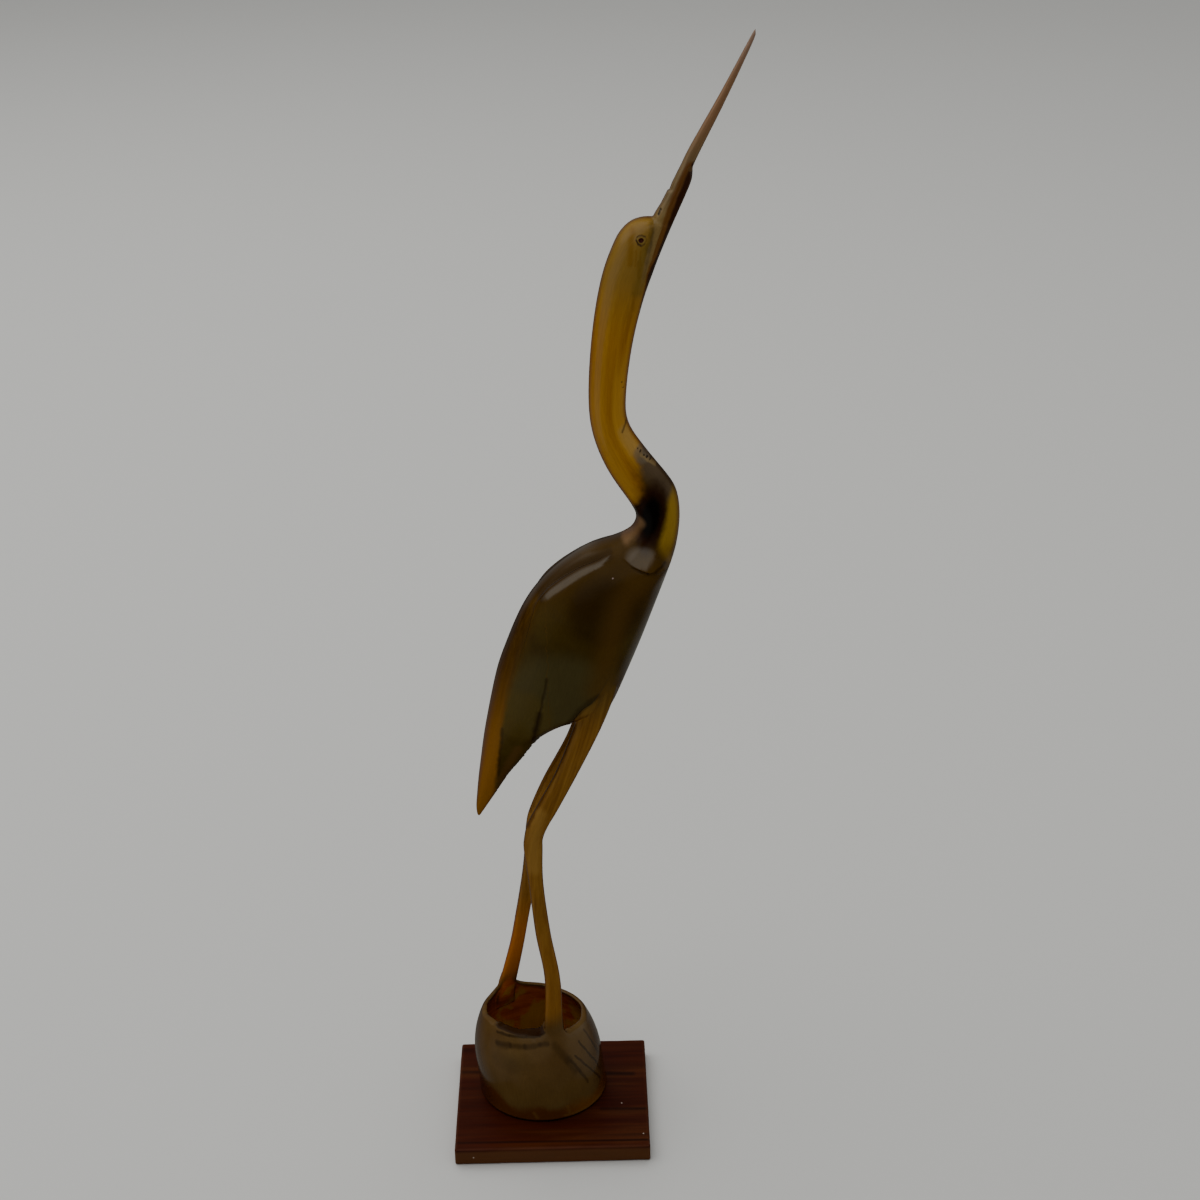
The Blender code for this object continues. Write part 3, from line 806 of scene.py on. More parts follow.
def nearest_part(start, reach, places):
    """For each place, which of several straight parts is nearest.

    Gives that part's number, how far along it the place lies from 0 to 1, the gap, and a side that is 1 on
    the left of the part's direction and -1 on its right.
    """
    found = []
    for few in np.array_split(places, 24):
        from_start = few[:, None] - start
        share = np.clip((from_start * reach).sum(2) / (reach ** 2).sum(1), 0, 1)
        gap = np.hypot(*np.moveaxis(from_start - share[..., None] * reach, 2, 0))
        nearest = gap.argmin(1)
        pick = np.arange(len(few))
        offset = from_start[pick, nearest]
        side = np.sign(reach[nearest, 0] * offset[:, 1] - reach[nearest, 1] * offset[:, 0])
        found.append((nearest, share[pick, nearest], gap[pick, nearest], side))
    return [np.concatenate(values) for values in zip(*found)]


def nearest_on(line, places):
    """For each place, how far along a line its nearest point is, the gap, the side, and the line's length."""
    reach = np.diff(line, axis=0)
    length = np.hypot(*reach.T)
    passed = np.concatenate([[0], np.cumsum(length)])
    nearest, share, gap, side = nearest_part(line[:-1], reach, places)
    return passed[nearest] + share * length[nearest], gap, side, passed[-1]


def beside(line, points, facings):
    """How far each point lies from a line, in millimetres over the skin, and how far along the line.

    The distance is measured in the side view and stretched where the skin slopes away from it. It is
    positive on the left of the line's direction. Along is 0 at the line's start and 1 at its end.
    """
    line = smooth_run(line, 6 * len(line))
    place = seen_from_side(points)
    margin = 45
    near = ((place > line.min(0) - margin) & (place < line.max(0) + margin)).all(1)
    passed, gap, side, whole = nearest_on(line, place[near])
    slope = np.clip(np.abs(facings[near, 1]), 0.35, 1)
    away, along = np.full(len(points), 99.0), np.zeros(len(points))
    away[near] = gap * side * SHARE * 1000 / slope
    along[near] = passed / whole
    return away, along


def facings_of(data):
    """The direction in which the skin faces at each point."""
    return array_of(data.vertex_normals, "vector", 3, np.float32)


def around_spot(spot, points):
    """Distance from a spot of the side view in millimetres, and the angle round it."""
    forwards, up = seen_from_side(points).T - np.array(spot)[:2, None]
    return np.hypot(forwards, up) * SHARE * 1000, np.arctan2(up, forwards)


def finer(data, wanted, cuts):
    """Splits every edge whose two ends are wanted, so that fine carving has enough points."""
    ends = edges_of(data)
    chosen = np.flatnonzero(wanted[ends].all(1)).tolist()
    shape = bmesh.new()
    shape.from_mesh(data)
    shape.edges.ensure_lookup_table()
    bmesh.ops.subdivide_edges(shape, edges=[shape.edges[index] for index in chosen], cuts=cuts,
                              use_grid_fill=True)
    shape.to_mesh(data)
    shape.free()
    data.shade_smooth()


skin_points, skin_facings = points_of(heron_mesh), facings_of(heron_mesh)
wanted = np.zeros(len(skin_points), bool)
for line in (WING_EDGE, CAPE_EDGE, FEATHER_LINE, CHEEK_LINE, GAPE_LINE):
    wanted |= np.abs(beside(line, skin_points, skin_facings)[0]) < LINE_REACH
finer(heron_mesh, wanted, 1)
skin_points = points_of(heron_mesh)
wanted = around_spot(EYE, skin_points)[0] < EYE_REACH
wanted |= around_spot(np.mean(NOSTRIL, 0), skin_points)[0] < NOSTRIL_REACH
for pit in PITS:
    wanted |= around_spot(pit, skin_points)[0] < PIT_REACH
finer(heron_mesh, wanted, 2)


def edge_step(away, rise, width):
    """A step along a line: the low side dips towards it, then a quarter round climbs to the high side.

    The high side sinks back to the skin in a bell 9 mm wide.
    """
    groove = 0.30 * rise
    climb = 1 - (1 - np.clip(away / width, 0, 1)) ** 2
    high = (groove + rise) * climb - groove
    high = np.where(away > width, rise * hump(away, width, 9), high)
    return np.where(away < 0, -groove * np.exp(np.minimum(away, 0) / 1.2), high)


def carved_heights(points, facings):
    """How far the carving raises each point of the skin, in millimetres.

    Each line, the eye, the nostril and each pit adds its own height by the distance from it: an edge is a
    smooth rise that dies away, and a cut is a bell turned down.
    """
    away, along = beside(WING_EDGE, points, facings)
    rise = np.interp(along, *WING_RISE)
    height = edge_step(away, rise, np.interp(along, *WING_BEVEL))

    away, along = beside(CAPE_EDGE, points, facings)
    rise = np.interp(along, *CAPE_RISE) * swell(np.abs(facings[:, 1]), 0.15, 0.60)
    above = np.clip(-away / 8.0, 0, 1)
    height += rise * ((1 - above) ** 1.5 - 0.45 * hump(away, 0, 8)) * swell(-away, -0.25, 0.25)
    height += 0.45 * rise * hump(away, 0, 8)
    height -= 0.2 * rise * hump(away, 0.45, 0.35)

    away, along = beside(THIGH_EDGE, points, facings)
    rise = np.interp(along, *THIGH_RISE)
    height += rise * swell(away, -0.4, 0.8) * np.exp(-np.clip(away - 0.8, 0, None) / 6)
    height -= 0.6 * rise * hump(away, -0.4, 0.5)

    for line, depth in ((FEATHER_LINE, 0.16), (TAIL_LINE, 0.06)):
        away, along = beside(line, points, facings)
        height -= depth * np.sin(np.pi * along) ** 0.5 * hump(away, 0, 0.3)

    away, along = beside(CHEEK_LINE, points, facings)
    height -= np.interp(along, *CHEEK_CUT) * hump(away, 0, 0.85)
    hollow = np.interp(along, *CHEEK_HOLLOW) * swell(away, -0.8, 2.6)
    height -= hollow * np.abs(facings[:, 1]) ** 1.5 * (away < 90)

    away, along = beside(GAPE_LINE, points, facings)
    height -= np.interp(along, *GAPE_CUT) * hump(away, 0, 0.35)

    away, angle = around_spot(EYE, points)
    height += 0.07 * hump(away, 0.85, 0.35)
    height -= 0.15 * swell(-away, -0.62, -0.30)
    height -= (0.11 + 0.07 * np.cos(angle - math.radians(215))) * hump(away, 1.38, 0.17)

    away = nearest_on(np.array(NOSTRIL), seen_from_side(points))[1] * SHARE * 1000
    height -= 0.28 * hump(away, 0, 0.22)

    for forwards, up, radius in PITS:
        height -= 0.7 * radius * hump(around_spot((forwards, up), points)[0], 0, radius)
    return height


skin_points, skin_facings = points_of(heron_mesh), facings_of(heron_mesh)
on_flank = swell(np.abs(skin_points[:, 1] - FOOT[1]) / SHARE, 1.5, 5.0)
up = (skin_points[:, 2] - FOOT[2]) / SHARE
raised = carved_heights(skin_points, skin_facings) * on_flank * swell(up, 340, 352)
bill_up = up - BILL_STEP
culmen = swell(-skin_facings[:, 0], 0.2, 0.7) * (bill_up > -5)
raised -= 0.45 * culmen * swell(bill_up, 0.0, 2.2) * np.exp(-np.clip(bill_up, 0, None) / 25)
set_points(heron_mesh, skin_points + skin_facings * raised[:, None] / 1000)
rough_heron = placed("rough heron", heron_mesh)
fewer = rough_heron.modifiers.new("fewer facets", "DECIMATE")
heron_mesh.calc_loop_triangles()
fewer.ratio = MOST_FACETS / len(heron_mesh.loop_triangles)
final_mesh = finished_mesh(rough_heron)
take_away(rough_heron)
final_mesh.name = "carved_heron"
final_mesh.shade_smooth()
heron = placed("carved_heron", final_mesh)

# Polished horn
# Cattle horn is translucent honey amber with smoky olive and black clouds, and fine growth lines run
# along it. Here it is honey at the neck and legs, smoky on the body and pot, and polished to a gloss.
# The horn's middle line from its wide mouth to its tip, forwards and up in thousandths
HORN_LINE = (
    (-5, 0), (-6, 90), (-5, 140), (-4, 190), (-2, 240), (-1, 280), (5, 305), (18, 340), (32, 385), (44, 430),
    (52, 470), (59.3, 512), (80.2, 540.5), (91.2, 552.7), (101.7, 562.5), (109.3, 572.9), (113.3, 584.8),
    (114.3, 596.5), (112.5, 607.9), (106.9, 619.6), (87.8, 647.7), (74.4, 677.2), (73, 710.5), (78.3, 757),
    (86.8, 796), (96, 820.6), (106, 837.7), (116, 847), (123.6, 861.7), (129.9, 873), (138.4, 893.6),
    (145, 907.1), (166.9, 948.9), (188.2, 990.8), (192, 999.8),
)
# A colour's edge in thousandths, and on which side the rest above and below it lies: the attribute holds
# millimetres from the edge, positive on the left of its direction
COLOUR_EDGES = (
    ("smoke", (
        (118, 672), (107, 664.5), (101.1, 658), (99, 652), (99.8, 646.2), (101.4, 636.1), (103, 626),
        (102, 618.4), (98.7, 612.2), (92, 605), (80, 600), (60, 598)), -20, 20),
    ("bill", (
        (98, 859), (106.5, 856), (110.9, 853.6), (111.9, 848.4), (109.6, 840), (107.1, 832), (104.6, 821.6),
        (101.3, 806.5), (99, 795)), 20, -20),
    ("throat", (
        (143, 898), (139.6, 890.7), (129.9, 868.9), (120.2, 840.7), (113.7, 822.6), (107.1, 809.2),
        (104.7, 795.9), (101.4, 782.8), (99.5, 772)), -20, -20),
    ("wing", (
        (40, 545), (25, 537), (11, 525.6), (1, 504.1), (-8.5, 476.6), (-18.4, 443.3), (-22.9, 414.1),
        (-25.2, 398.9), (-27.9, 377), (-30.8, 352.4), (-36, 325), (-40, 300)), 20, 20),
    ("window", (
        (126.5, 632), (126.1, 622.8), (123.2, 614.9), (120.4, 602.7), (116.9, 590), (115.1, 577),
        (118.5, 566.4), (124, 558)), -20, -20),
    ("belly", (
        (106, 560), (102, 551.8), (84.6, 531.3), (72.9, 495), (66.5, 465.6), (61.8, 445.5)), 20, 20),
)
# The dark blotch on the breast: its middle and its reach, forwards and up in thousandths, and how far it
# leans forwards as it rises
BLOTCH = (107.44, 601)
BLOTCH_REACH = (13.2, 29)
BLOTCH_LEAN = 0.14
# The swell of the cape that takes the most polish, in the same way
CAPE_SWELL = (99.8, 566.0)
CAPE_SWELL_REACH = (17.5, 11.6)
# Shares of the wing's edge, and how many millimetres of it shine there
WING_SHINE = ((0.05, 0.12, 0.22, 0.36, 0.46, 0.52), (0, 1.7, 2.2, 2.4, 2.0, 0))
# Marks of the side view: their colour, and for each its line in thousandths, its width in millimetres and its
# strength. A line of one place is a soft round spot, and its width is the spot's radius.
MARKS = {
    "dusk on the flank": ((0.020, 0.0085, 0.0020), (((68, 520),), 11, 0.55)),
    "moss on the thigh": ((0.070, 0.0590, 0.0220), (((28, 438),), 16, 0.60)),
    "bronze at the wing tip": ((0.085, 0.0560, 0.0100), (((-6, 420),), 9, 0.55)),
    # A pale tan stroke at the neck's foot: a painted highlight.
    "painted highlight at the neck's foot": ((0.430, 0.285, 0.1000), (((86.2, 676), (90.0, 668), (94.5, 660)), 3.0, 0.42)),
    # A grey-lilac stroke over the breast: a painted reflection.
    "painted reflection over the breast": ((0.115, 0.0820, 0.0520), (
        ((103.3, 648.5), (111.6, 636.9), (119.9, 625.1), (124.9, 614.4)), 4.2, 0.5)),
    "ash over the breast": ((0.165, 0.1250, 0.0780), (((102.0, 655.5),), 2.8, 0.7)),
    "brown under the tail": ((0.098, 0.0440, 0.0110), (((-12, 384), (-20, 366), (-28, 345)), 2.6, 0.5)),
    "pale knee": ((0.325, 0.1800, 0.0400), (((6, 318), (0, 290), (-1, 262)), 3.6, 0.5)),
    "pale streak": ((0.300, 0.2000, 0.0750), (((100.0, 654.5), (105.9, 649.1), (111.9, 644.0)), 0.7, 0.6)),
    # A pinkish stroke on the saddle between the neck and the mantle: a painted highlight.
    "painted highlight on the saddle": ((0.220, 0.1200, 0.0520), (((98.0, 594.5), (92.1, 584.5), (86.5, 579.0)), 2.6, 0.7)),
    # Dark lines, most of them along the carved cuts; those under the cape's edge and above the wing's edge
    # are painted shade in the grooves.
    "dark lines and groove shade": (
        (0.013, 0.0048, 0.0016),
        (FEATHER_LINE, 0.8, 0.50),
        (((8.5, 424.0), (2.4, 393.0)), 1.9, 0.55),
        (TAIL_LINE, 0.8, 0.40),
        (((33.0, 411.0), (44.0, 426.8), (52.9, 434.8), (59.1, 438.3)), 1.9, 0.45),
        # Painted shade in the crease under the cape's edge, here and in the next line.
        (((104.6, 553.2), (110.6, 554.4), (114.9, 556.8), (119.3, 560.0)), 0.8, 0.60),
        (((91.0, 559.4), (98.0, 555.8), (104.6, 553.2)), 0.5, 0.3),
        (((88.0, 684.0), (84.6, 675.6)), 0.5, 0.6),
        # Painted shade in the groove above the wing's raised edge.
        (((72, 567.8), (64, 565.0), (55, 562.0), (46, 557.8), (37, 552.2), (28, 546.0), (19, 538.4),
          (12, 529.6)), 2.0, 0.4),
        (((103.2, 615.4), (99.5, 611.3), (95.4, 606.5)), 0.6, 0.8)),
    "pits": ((0.020, 0.0100, 0.0050), *(((place,), radius, 0.85) for *place, radius in PITS)),
    "pale speck": ((0.420, 0.300, 0.2700), (((74.7, 550.9),), 0.26, 0.8)),
    "ochre streaks of the head": (
        (0.200, 0.0900, 0.0030),
        (((95.0, 846.0), (93.0, 833.0), (92.6, 820.0)), 1.4, 0.55),
        (((97.5, 830.0), (96.8, 818.0)), 0.5, 0.45),
        (((99.6, 821.0), (99.7, 808.0)), 0.8, 0.50),
        (((101.0, 830.0), (101.3, 818.0)), 0.4, 0.50),
        (((95.5, 796.0), (94.5, 780.0)), 0.7, 0.35)),
    "olive cheek": ((0.135, 0.0880, 0.0120), (((106, 832), (103, 812), (99, 796)), 3.2, 0.45)),
    "shade behind the bill": (
        (0.048, 0.0300, 0.0070),
        (((112.0, 851.5), (109.6, 842.0), (107.8, 830.0)), 1.5, 0.34),
        (((107.8, 830.0), (106.2, 820.0)), 1.3, 0.22),
        (((106.2, 820.0), (104.0, 808.0)), 1.3, 0.16),
        (((111.5, 846.5), (109.0, 833.0)), 0.7, 0.36)),
    "blunt end of the lower bill": ((0.130, 0.0700, 0.0220), (((141.5, 893.0),), 0.8, 0.7)),
    "nostril": ((0.022, 0.0110, 0.0050), (NOSTRIL, 0.5, 0.9)),
    "arcs round the eye": (
        (0.030, 0.0110, 0.0030),
        (((98.2, 838.7), (99.1, 836.2), (101.4, 834.8)), 0.50, 0.85),
        (((99.2, 841.8), (102.0, 842.9), (104.9, 841.8)), 0.40, 0.60),
        (((102.3, 834.8), (104.7, 835.9)), 0.40, 0.45)),
}
# Dark marks on the pot, the last of them a painted shadow under the rim's lip: their colour, and for each its
# line in degrees of azimuth and millimetres above the foot, its width in millimetres and its strength
POT_MARKS_AND_LIP_SHADOW = (
    (0.026, 0.0125, 0.0032),
    (((-37.9, 26.2), (-30.1, 19.4), (-17.4, 10.2)), 0.8, 0.8),
    (((-48.4, 22.8), (-38.9, 17.3), (-20.9, 6.8)), 0.7, 0.75),
    (((-54.1, 21.9), (-47.4, 16.7), (-40.3, 10.7)), 0.9, 0.6),
    (((-65.8, 28.6), (-56.8, 22.6), (-52.4, 18.0)), 2.4, 0.40),
    (((-23.4, 27.8), (-20.2, 22.2), (-15.0, 16.5)), 0.9, 0.65),
    (((-126.0, 23.5), (-112.0, 22.5), (-98.0, 23.5)), 5.0, 0.22),
    (((-130.0, 28.7), (-113.8, 29.3), (-97.3, 29.4), (-81.2, 29.9), (-72.6, 29.8)), 1.4, 0.60),
    (((-130.0, 28.4), (-118.0, 28.2)), 1.6, 0.45),
    # The painted shadow under the rim's lip.
    (((-132.0, 32.0), (-115.0, 32.3), (-95.0, 32.6), (-80.0, 32.6), (-73.0, 33.6)), 0.7, 0.85),
)
# Pale marks round the pot's foot, in the same way
FOOT_GLINTS = (
    (0.135, 0.0640, 0.0130),
    (((-97.0, 3.4), (-94.5, 1.6)), 1.1, 0.55),
    (((-66.0, 4.6), (-65.0, 2.0)), 1.0, 0.55),
    (((-70.0, 1.2), (-50.0, 1.0), (-30.0, 1.3), (-12.0, 1.8)), 0.6, 0.60),
)


def along_horn(points):
    """Metres along the horn's middle line, off it in the side view, and sideways."""
    place = (points - FOOT) / SHARE
    passed, gap, side, _ = nearest_on(smooth_run(HORN_LINE, 160), place[:, ::2])
    return np.stack([passed, -side * gap, place[:, 1]], 1) * SHARE


def across_trunk(points):
    """From -1 at the back to 1 at the breast, measured along the nearest of the trunk's sections."""
    rows = smooth_run(TRUNK, 140)
    back, front = rows[:, :2], rows[:, 2:4]
    return 2 * nearest_part(back, front - back, seen_from_side(points))[1] - 1


skin_points, skin_facings = points_of(final_mesh), facings_of(final_mesh)
forwards, sideways, up = ((skin_points - FOOT) / SHARE).T
give(heron, "horn_place", along_horn(skin_points))
across = across_trunk(skin_points)
give(heron, "across", across)
for name, line, above, below in COLOUR_EDGES:
    away = beside(line, skin_points, skin_facings)[0]
    away = np.where(up > max(place[1] for place in line) + 40, above, away)
    away = np.where((up < min(place[1] for place in line) - 40) | (away > 98), below, away)
    give(heron, name, np.clip(away, -20, 20))


def well_polished(points, facings, across, azimuth, below_rim):
    """How high the polish is, from 0 to 1.

    Cloth and hands shone the wings' edges and the swell of the cape most, then the mantle above the wings,
    the back of the neck, the breast, the bill and the pot, and left the hollows duller.
    """
    up = seen_from_side(points)[:, 1]
    flatten = np.clip(np.abs(facings[:, 1]), 0.35, 1)
    away, along = beside(WING_EDGE, points, facings)
    away *= flatten
    band = np.maximum(np.interp(along, *WING_SHINE), 1e-6)
    shine = swell(away, 0.08, 0.80) * swell(-away / band, -1, -0.8)
    mantle = swell(-away, 0.3, 2.2) * swell(up, 505, 530) * swell(-up, -572, -566) * (away > -90)
    shine = np.maximum(shine, 0.48 * mantle)
    cape_away = beside(CAPE_EDGE, points, facings)[0] * flatten
    oval_gap = np.hypot(*(seen_from_side(points) - CAPE_SWELL).T / np.array(CAPE_SWELL_REACH)[:, None])
    shine = np.maximum(shine, swell(1 - oval_gap, 0, 0.5) * swell(-cape_away, 0.0, 0.35))
    on_trunk = swell(up, 440, 470)
    neck_back = swell(across, -1.0, -0.75) * swell(-across, 0.25, 0.50) * swell(up, 640, 680)
    breast = swell(across, 0.45, 0.80) * on_trunk * swell(-up, -572, -556)
    shine = np.maximum(shine, np.maximum(0.45 * neck_back, 0.72 * breast))
    shine = np.maximum(shine, 0.5 * swell(up, 850, 900))
    turn = np.abs(np.degrees(azimuth) + 151)
    on_pot = swell(-up, -95, -70)
    rightwards = swell(np.degrees(azimuth), -85, -50)
    shine = np.maximum(shine, on_pot * (0.06 + 0.24 * rightwards + 0.22 * swell(-turn, -42, -4)))
    lip = swell(facings[:, 2], 0.30, 0.55) * swell(-facings[:, 2], -0.88, -0.70)
    return np.maximum(np.maximum(shine, 0.06), 0.8 * lip * on_pot * (np.abs(below_rim) < 0.002))


above_foot = skin_points[:, 2] - FOOT[2]
lean = POT_LEAN * above_foot / POT_HEIGHT
azimuth = np.arctan2(skin_points[:, 1] - FOOT[1], skin_points[:, 0] - FOOT[0] + lean)
give(heron, "pot_place", np.stack([azimuth * POT_BELLY_RADIUS, above_foot, np.zeros(len(azimuth))], 1))
outward = skin_facings[:, 0] * np.cos(azimuth) + skin_facings[:, 1] * np.sin(azimuth)
below_rim = rim_height(azimuth) - above_foot
give(heron, "pot_inside", swell(-outward, 0.45, 0.85) * swell(below_rim, 0.0007, 0.0024) * (up < 118))
near_side = swell(-np.abs(np.degrees(azimuth) + 98), -44, -36)
rim_top = swell(skin_facings[:, 2], 0.55, 0.85) * swell(-below_rim, -0.0020, -0.0010) * near_side * (up < 95)
give(heron, "rim_top", rim_top)
give(heron, "polish", well_polished(skin_points, skin_facings, across, azimuth, below_rim))
away, along = beside(THIGH_EDGE, skin_points, skin_facings)
leg_share = swell(-away, -0.4, 1.0) * swell(-up, -466, -392) * (np.abs(away) < 98)
below_body = swell(-up, -412, -396) * (np.abs(sideways) > 8)
give(heron, "leg", np.maximum(leg_share, np.where(forwards > up * 0.42 - 150, below_body, 0)))
past, over = seen_from_side(skin_points).T - np.array(BLOTCH)[:, None]
past -= BLOTCH_LEAN * over
give(heron, "blotch", 1 - np.hypot(past / BLOTCH_REACH[0], over / BLOTCH_REACH[1]))


def seen_at(forwards, up):
    """A place of the side view in metres, from thousandths of the height."""
    return FOOT[0] + forwards * SHARE, 0.0, FOOT[2] + up * SHARE


def side_strokes(tree, place, line, width):
    """The mask of strokes of the side view along a line in thousandths, their width in millimetres."""
    places = [seen_at(*each) for each in line]
    masks = [drawn_stroke(tree, place, *ends, width / 1000) for ends in zip(places, places[1:])]
    mask = masks[0]
    for drawn in masks[1:]:
        mask = sums(tree, "MAXIMUM", mask, drawn)
    return mask


def marked(tree, place, colour, *names):
    """A colour with the marks of these names laid over it."""
    for name in names:
        tone, *marks = MARKS[name]
        for line, width, amount in marks:
            if len(line) > 1:
                drawn = side_strokes(tree, place, line, width)
            else:
                drawn = round_spot(tree, place, seen_at(*line[0]), width / 1000)
            colour = laid_over(tree, times(tree, drawn, amount), colour, tone)
    return colour


def marked_round_pot(tree, place, colour, tone, *marks):
    """A colour with marks round the pot laid over it, stroke by stroke."""
    for line, width, amount in marks:
        places = [(math.radians(azimuth) * POT_BELLY_RADIUS, high / 1000, 0.0) for azimuth, high in line]
        for ends in zip(places, places[1:]):
            drawn = drawn_stroke(tree, place, *ends, width / 1000)
            colour = laid_over(tree, times(tree, drawn, amount), colour, tone)
    return colour


def coated(tree, colour, *coats):
    """A colour under several coats, each an amount and a colour of its own, laid on in their order."""
    for amount, tone in coats:
        colour = laid_over(tree, amount, colour, tone)
    return colour


def place_of(tree, name):
    """Three numbers that were stored for each point."""
    return put(tree, "ShaderNodeAttribute", attribute_name=name).outputs["Vector"]


def frayed(tree, edge, ragged, amount):
    """A stored distance from a colour's edge, made uneven."""
    return sums(tree, "ADD", share_of(tree, edge), times(tree, ragged, amount))


def honey_horn(tree, up, side_view):
    """The translucent honey of the neck and the breast, with painted highlights along the back and the front
    of the neck and a pale tan painted highlight at the neck's foot.
    """
    lines = fibres_of(tree, place_of(tree, "horn_place"), 0.0030, 18.0)
    honey = toned(tree, lines["Broad"], [
        (0.32, (0.290, 0.117, 0.0046)), (0.50, (0.352, 0.156, 0.0062)), (0.68, (0.402, 0.193, 0.0098))])
    across = share_of(tree, "across")
    # Pale is a painted highlight along the back of the neck.
    pale = times(tree, spread(tree, across, -0.95, -0.60), spread(tree, across, -0.10, -0.45), 0.20)
    # Flank is a painted highlight on the front of the neck, below the head.
    flank = times(tree, spread(tree, across, 0.15, 0.40), spread(tree, across, 0.98, 0.78),
                  spread(tree, up, 0.290, 0.270), 0.55)
    honey = coated(tree, honey, (pale, (0.440, 0.2600, 0.0380)), (flank, (0.520, 0.2750, 0.0300)))
    # The pale tan stroke at the neck's foot is a painted highlight.
    return marked(tree, side_view, honey, "painted highlight at the neck's foot")


def smoky_horn(tree, up, side_view, ragged, cloud):
    """The olive and black clouds of the body, warmer towards the belly and ashy where they begin, with a
    painted reflection over the breast.
    """
    smoky = toned(tree, sums(tree, "ADD", cloud, times(tree, ragged, 0.15)), [
        (0.34, (0.040, 0.0225, 0.0026)), (0.50, (0.053, 0.0320, 0.0040)), (0.66, (0.066, 0.0420, 0.0060))])
    warm = times(tree, spread(tree, up, 0.188, 0.212), 0.75)
    smoky = laid_over(tree, warm, smoky, (0.058, 0.0270, 0.0040))
    smoky = marked(tree, side_view, smoky, "dusk on the flank", "moss on the thigh", "bronze at the wing tip")
    belly = spread(tree, sums(tree, "ABSOLUTE", share_of(tree, "belly")), 8.5, 0.0, 0.0, 0.7)
    ashy = times(tree, spread(tree, up, 0.2400, 0.2480), 0.6)
    smoky = coated(tree, smoky, (belly, (0.088, 0.0430, 0.0065)), (ashy, (0.105, 0.0640, 0.0260)))
    # The grey-lilac stroke over the breast is a painted reflection.
    return marked(tree, side_view, smoky, "painted reflection over the breast")


def leg_horn(tree, sideways, up, side_view, threads):
    """The amber of the legs, with a pale knee, a dark line down each leg, the far thigh painted lighter as a
    glow of light through the horn, and redder towards the pot.
    """
    shank = toned(tree, threads, [
        (0.30, (0.150, 0.0620, 0.0080)), (0.50, (0.200, 0.0900, 0.0120)), (0.70, (0.242, 0.1190, 0.0175))])
    shank = marked(tree, side_view, shank, "pale knee")
    far = spread(tree, sideways, 0.004, 0.008)
    shank = coated(
        tree, shank,
        (times(tree, far, spread(tree, up, 0.086, 0.060)), (0.330, 0.0980, 0.0050)),
        # The far thigh's lighter amber is a painted glow of light shining through the thin horn.
        (times(tree, far, spread(tree, up, 0.106, 0.122), 0.5), (0.330, 0.1400, 0.0110)),
        (times(tree, spread(tree, up, 0.100, 0.062), spread(tree, sideways, 0.0, -0.004), 0.5),
         (0.220, 0.0900, 0.0110)))
    near = spread(tree, sideways, 0.002, -0.002)
    for side, line in ((near, ((39.0, 404), (22.6, 361), (2.6, 322), (-5, 305))),
                       (far, ((47, 416), (33.5, 373), (9.5, 327), (-4.5, 294)))):
        drawn = times(tree, side_strokes(tree, side_view, line, 0.8), side, 0.55)
        shank = laid_over(tree, drawn, shank, (0.060, 0.0170, 0.0030))
    return shank


def painted_body(tree, sideways, up, side_view, ragged, cloud, threads):
    """The horn's colours from the neck down to the legs: honey, smoke, embers and the dark blotch, with a
    painted glow of light through the thin horn at the tail, along the back's edge and in the breast's window,
    a painted highlight on the saddle and painted shade in some carved grooves.
    """
    honey = honey_horn(tree, up, side_view)
    smoke = frayed(tree, "smoke", ragged, 3.0)
    scorched = times(tree, spread(tree, smoke, -5.5, 0.0), spread(tree, up, 0.2540, 0.2420), 0.7)
    honey = laid_over(tree, scorched, honey, (0.130, 0.0460, 0.0035))
    smoky = smoky_horn(tree, up, side_view, ragged, cloud)
    colour = laid_over(tree, spread(tree, smoke, -1.7, 1.4), honey, smoky)
    colour = marked(tree, side_view, colour, "ash over the breast")

    ember = toned(tree, threads, [
        (0.30, (0.044, 0.0180, 0.0018)), (0.52, (0.060, 0.0260, 0.0024)), (0.72, (0.080, 0.0370, 0.0036))])
    # The amber of the horn along the back's edge and at the tail is painted bright: a painted glow of light
    # shining through the thin horn.
    tail = laid_over(tree, spread(tree, up, 0.188, 0.140), ember, (0.225, 0.0900, 0.0058))
    edge = frayed(tree, "wing", ragged, 1.6)
    soften = spread(tree, up, 0.155, 0.185, 0.6, 4.0)
    strip = times(tree, spread(tree, edge, soften, -1.6), spread(tree, up, 0.214, 0.196))
    tip = spread(tree, sums(tree, "ADD", up, times(tree, ragged, 0.008)), 0.136, 0.122)
    colour = coated(tree, colour, (strip, tail), (tip, tail))
    colour = marked(tree, side_view, colour, "brown under the tail")
    shank = leg_horn(tree, sideways, up, side_view, threads)
    colour = laid_over(tree, share_of(tree, "leg"), colour, shank)

    # The window is a clear yellow patch of the horn; its bright gold is a painted glow of light shining
    # through it.
    window = times(tree, spread(tree, share_of(tree, "window"), -2.0, 1.2), spread(tree, up, 0.204, 0.227),
                   spread(tree, up, 0.2420, 0.2340))
    glow_gold = laid_over(tree, spread(tree, up, 0.224, 0.210), (0.330, 0.195, 0.0090), (0.135, 0.0600, 0.0050))
    black = frayed(tree, "blotch", ragged, 0.35)
    colour = coated(tree, colour,
                    (times(tree, window, 0.9), glow_gold),
                    (spread(tree, black, -0.30, 0.26), (0.021, 0.0066, 0.0018)),
                    (spread(tree, black, 0.15, 0.60), (0.0020, 0.0012, 0.0008)))
    # The saddle's pinkish stroke is a painted highlight, and some of the dark lines are painted shade in
    # carved grooves.
    return marked(tree, side_view, colour, "pale streak", "painted highlight on the saddle", "dark lines and groove shade", "pits", "pale speck")


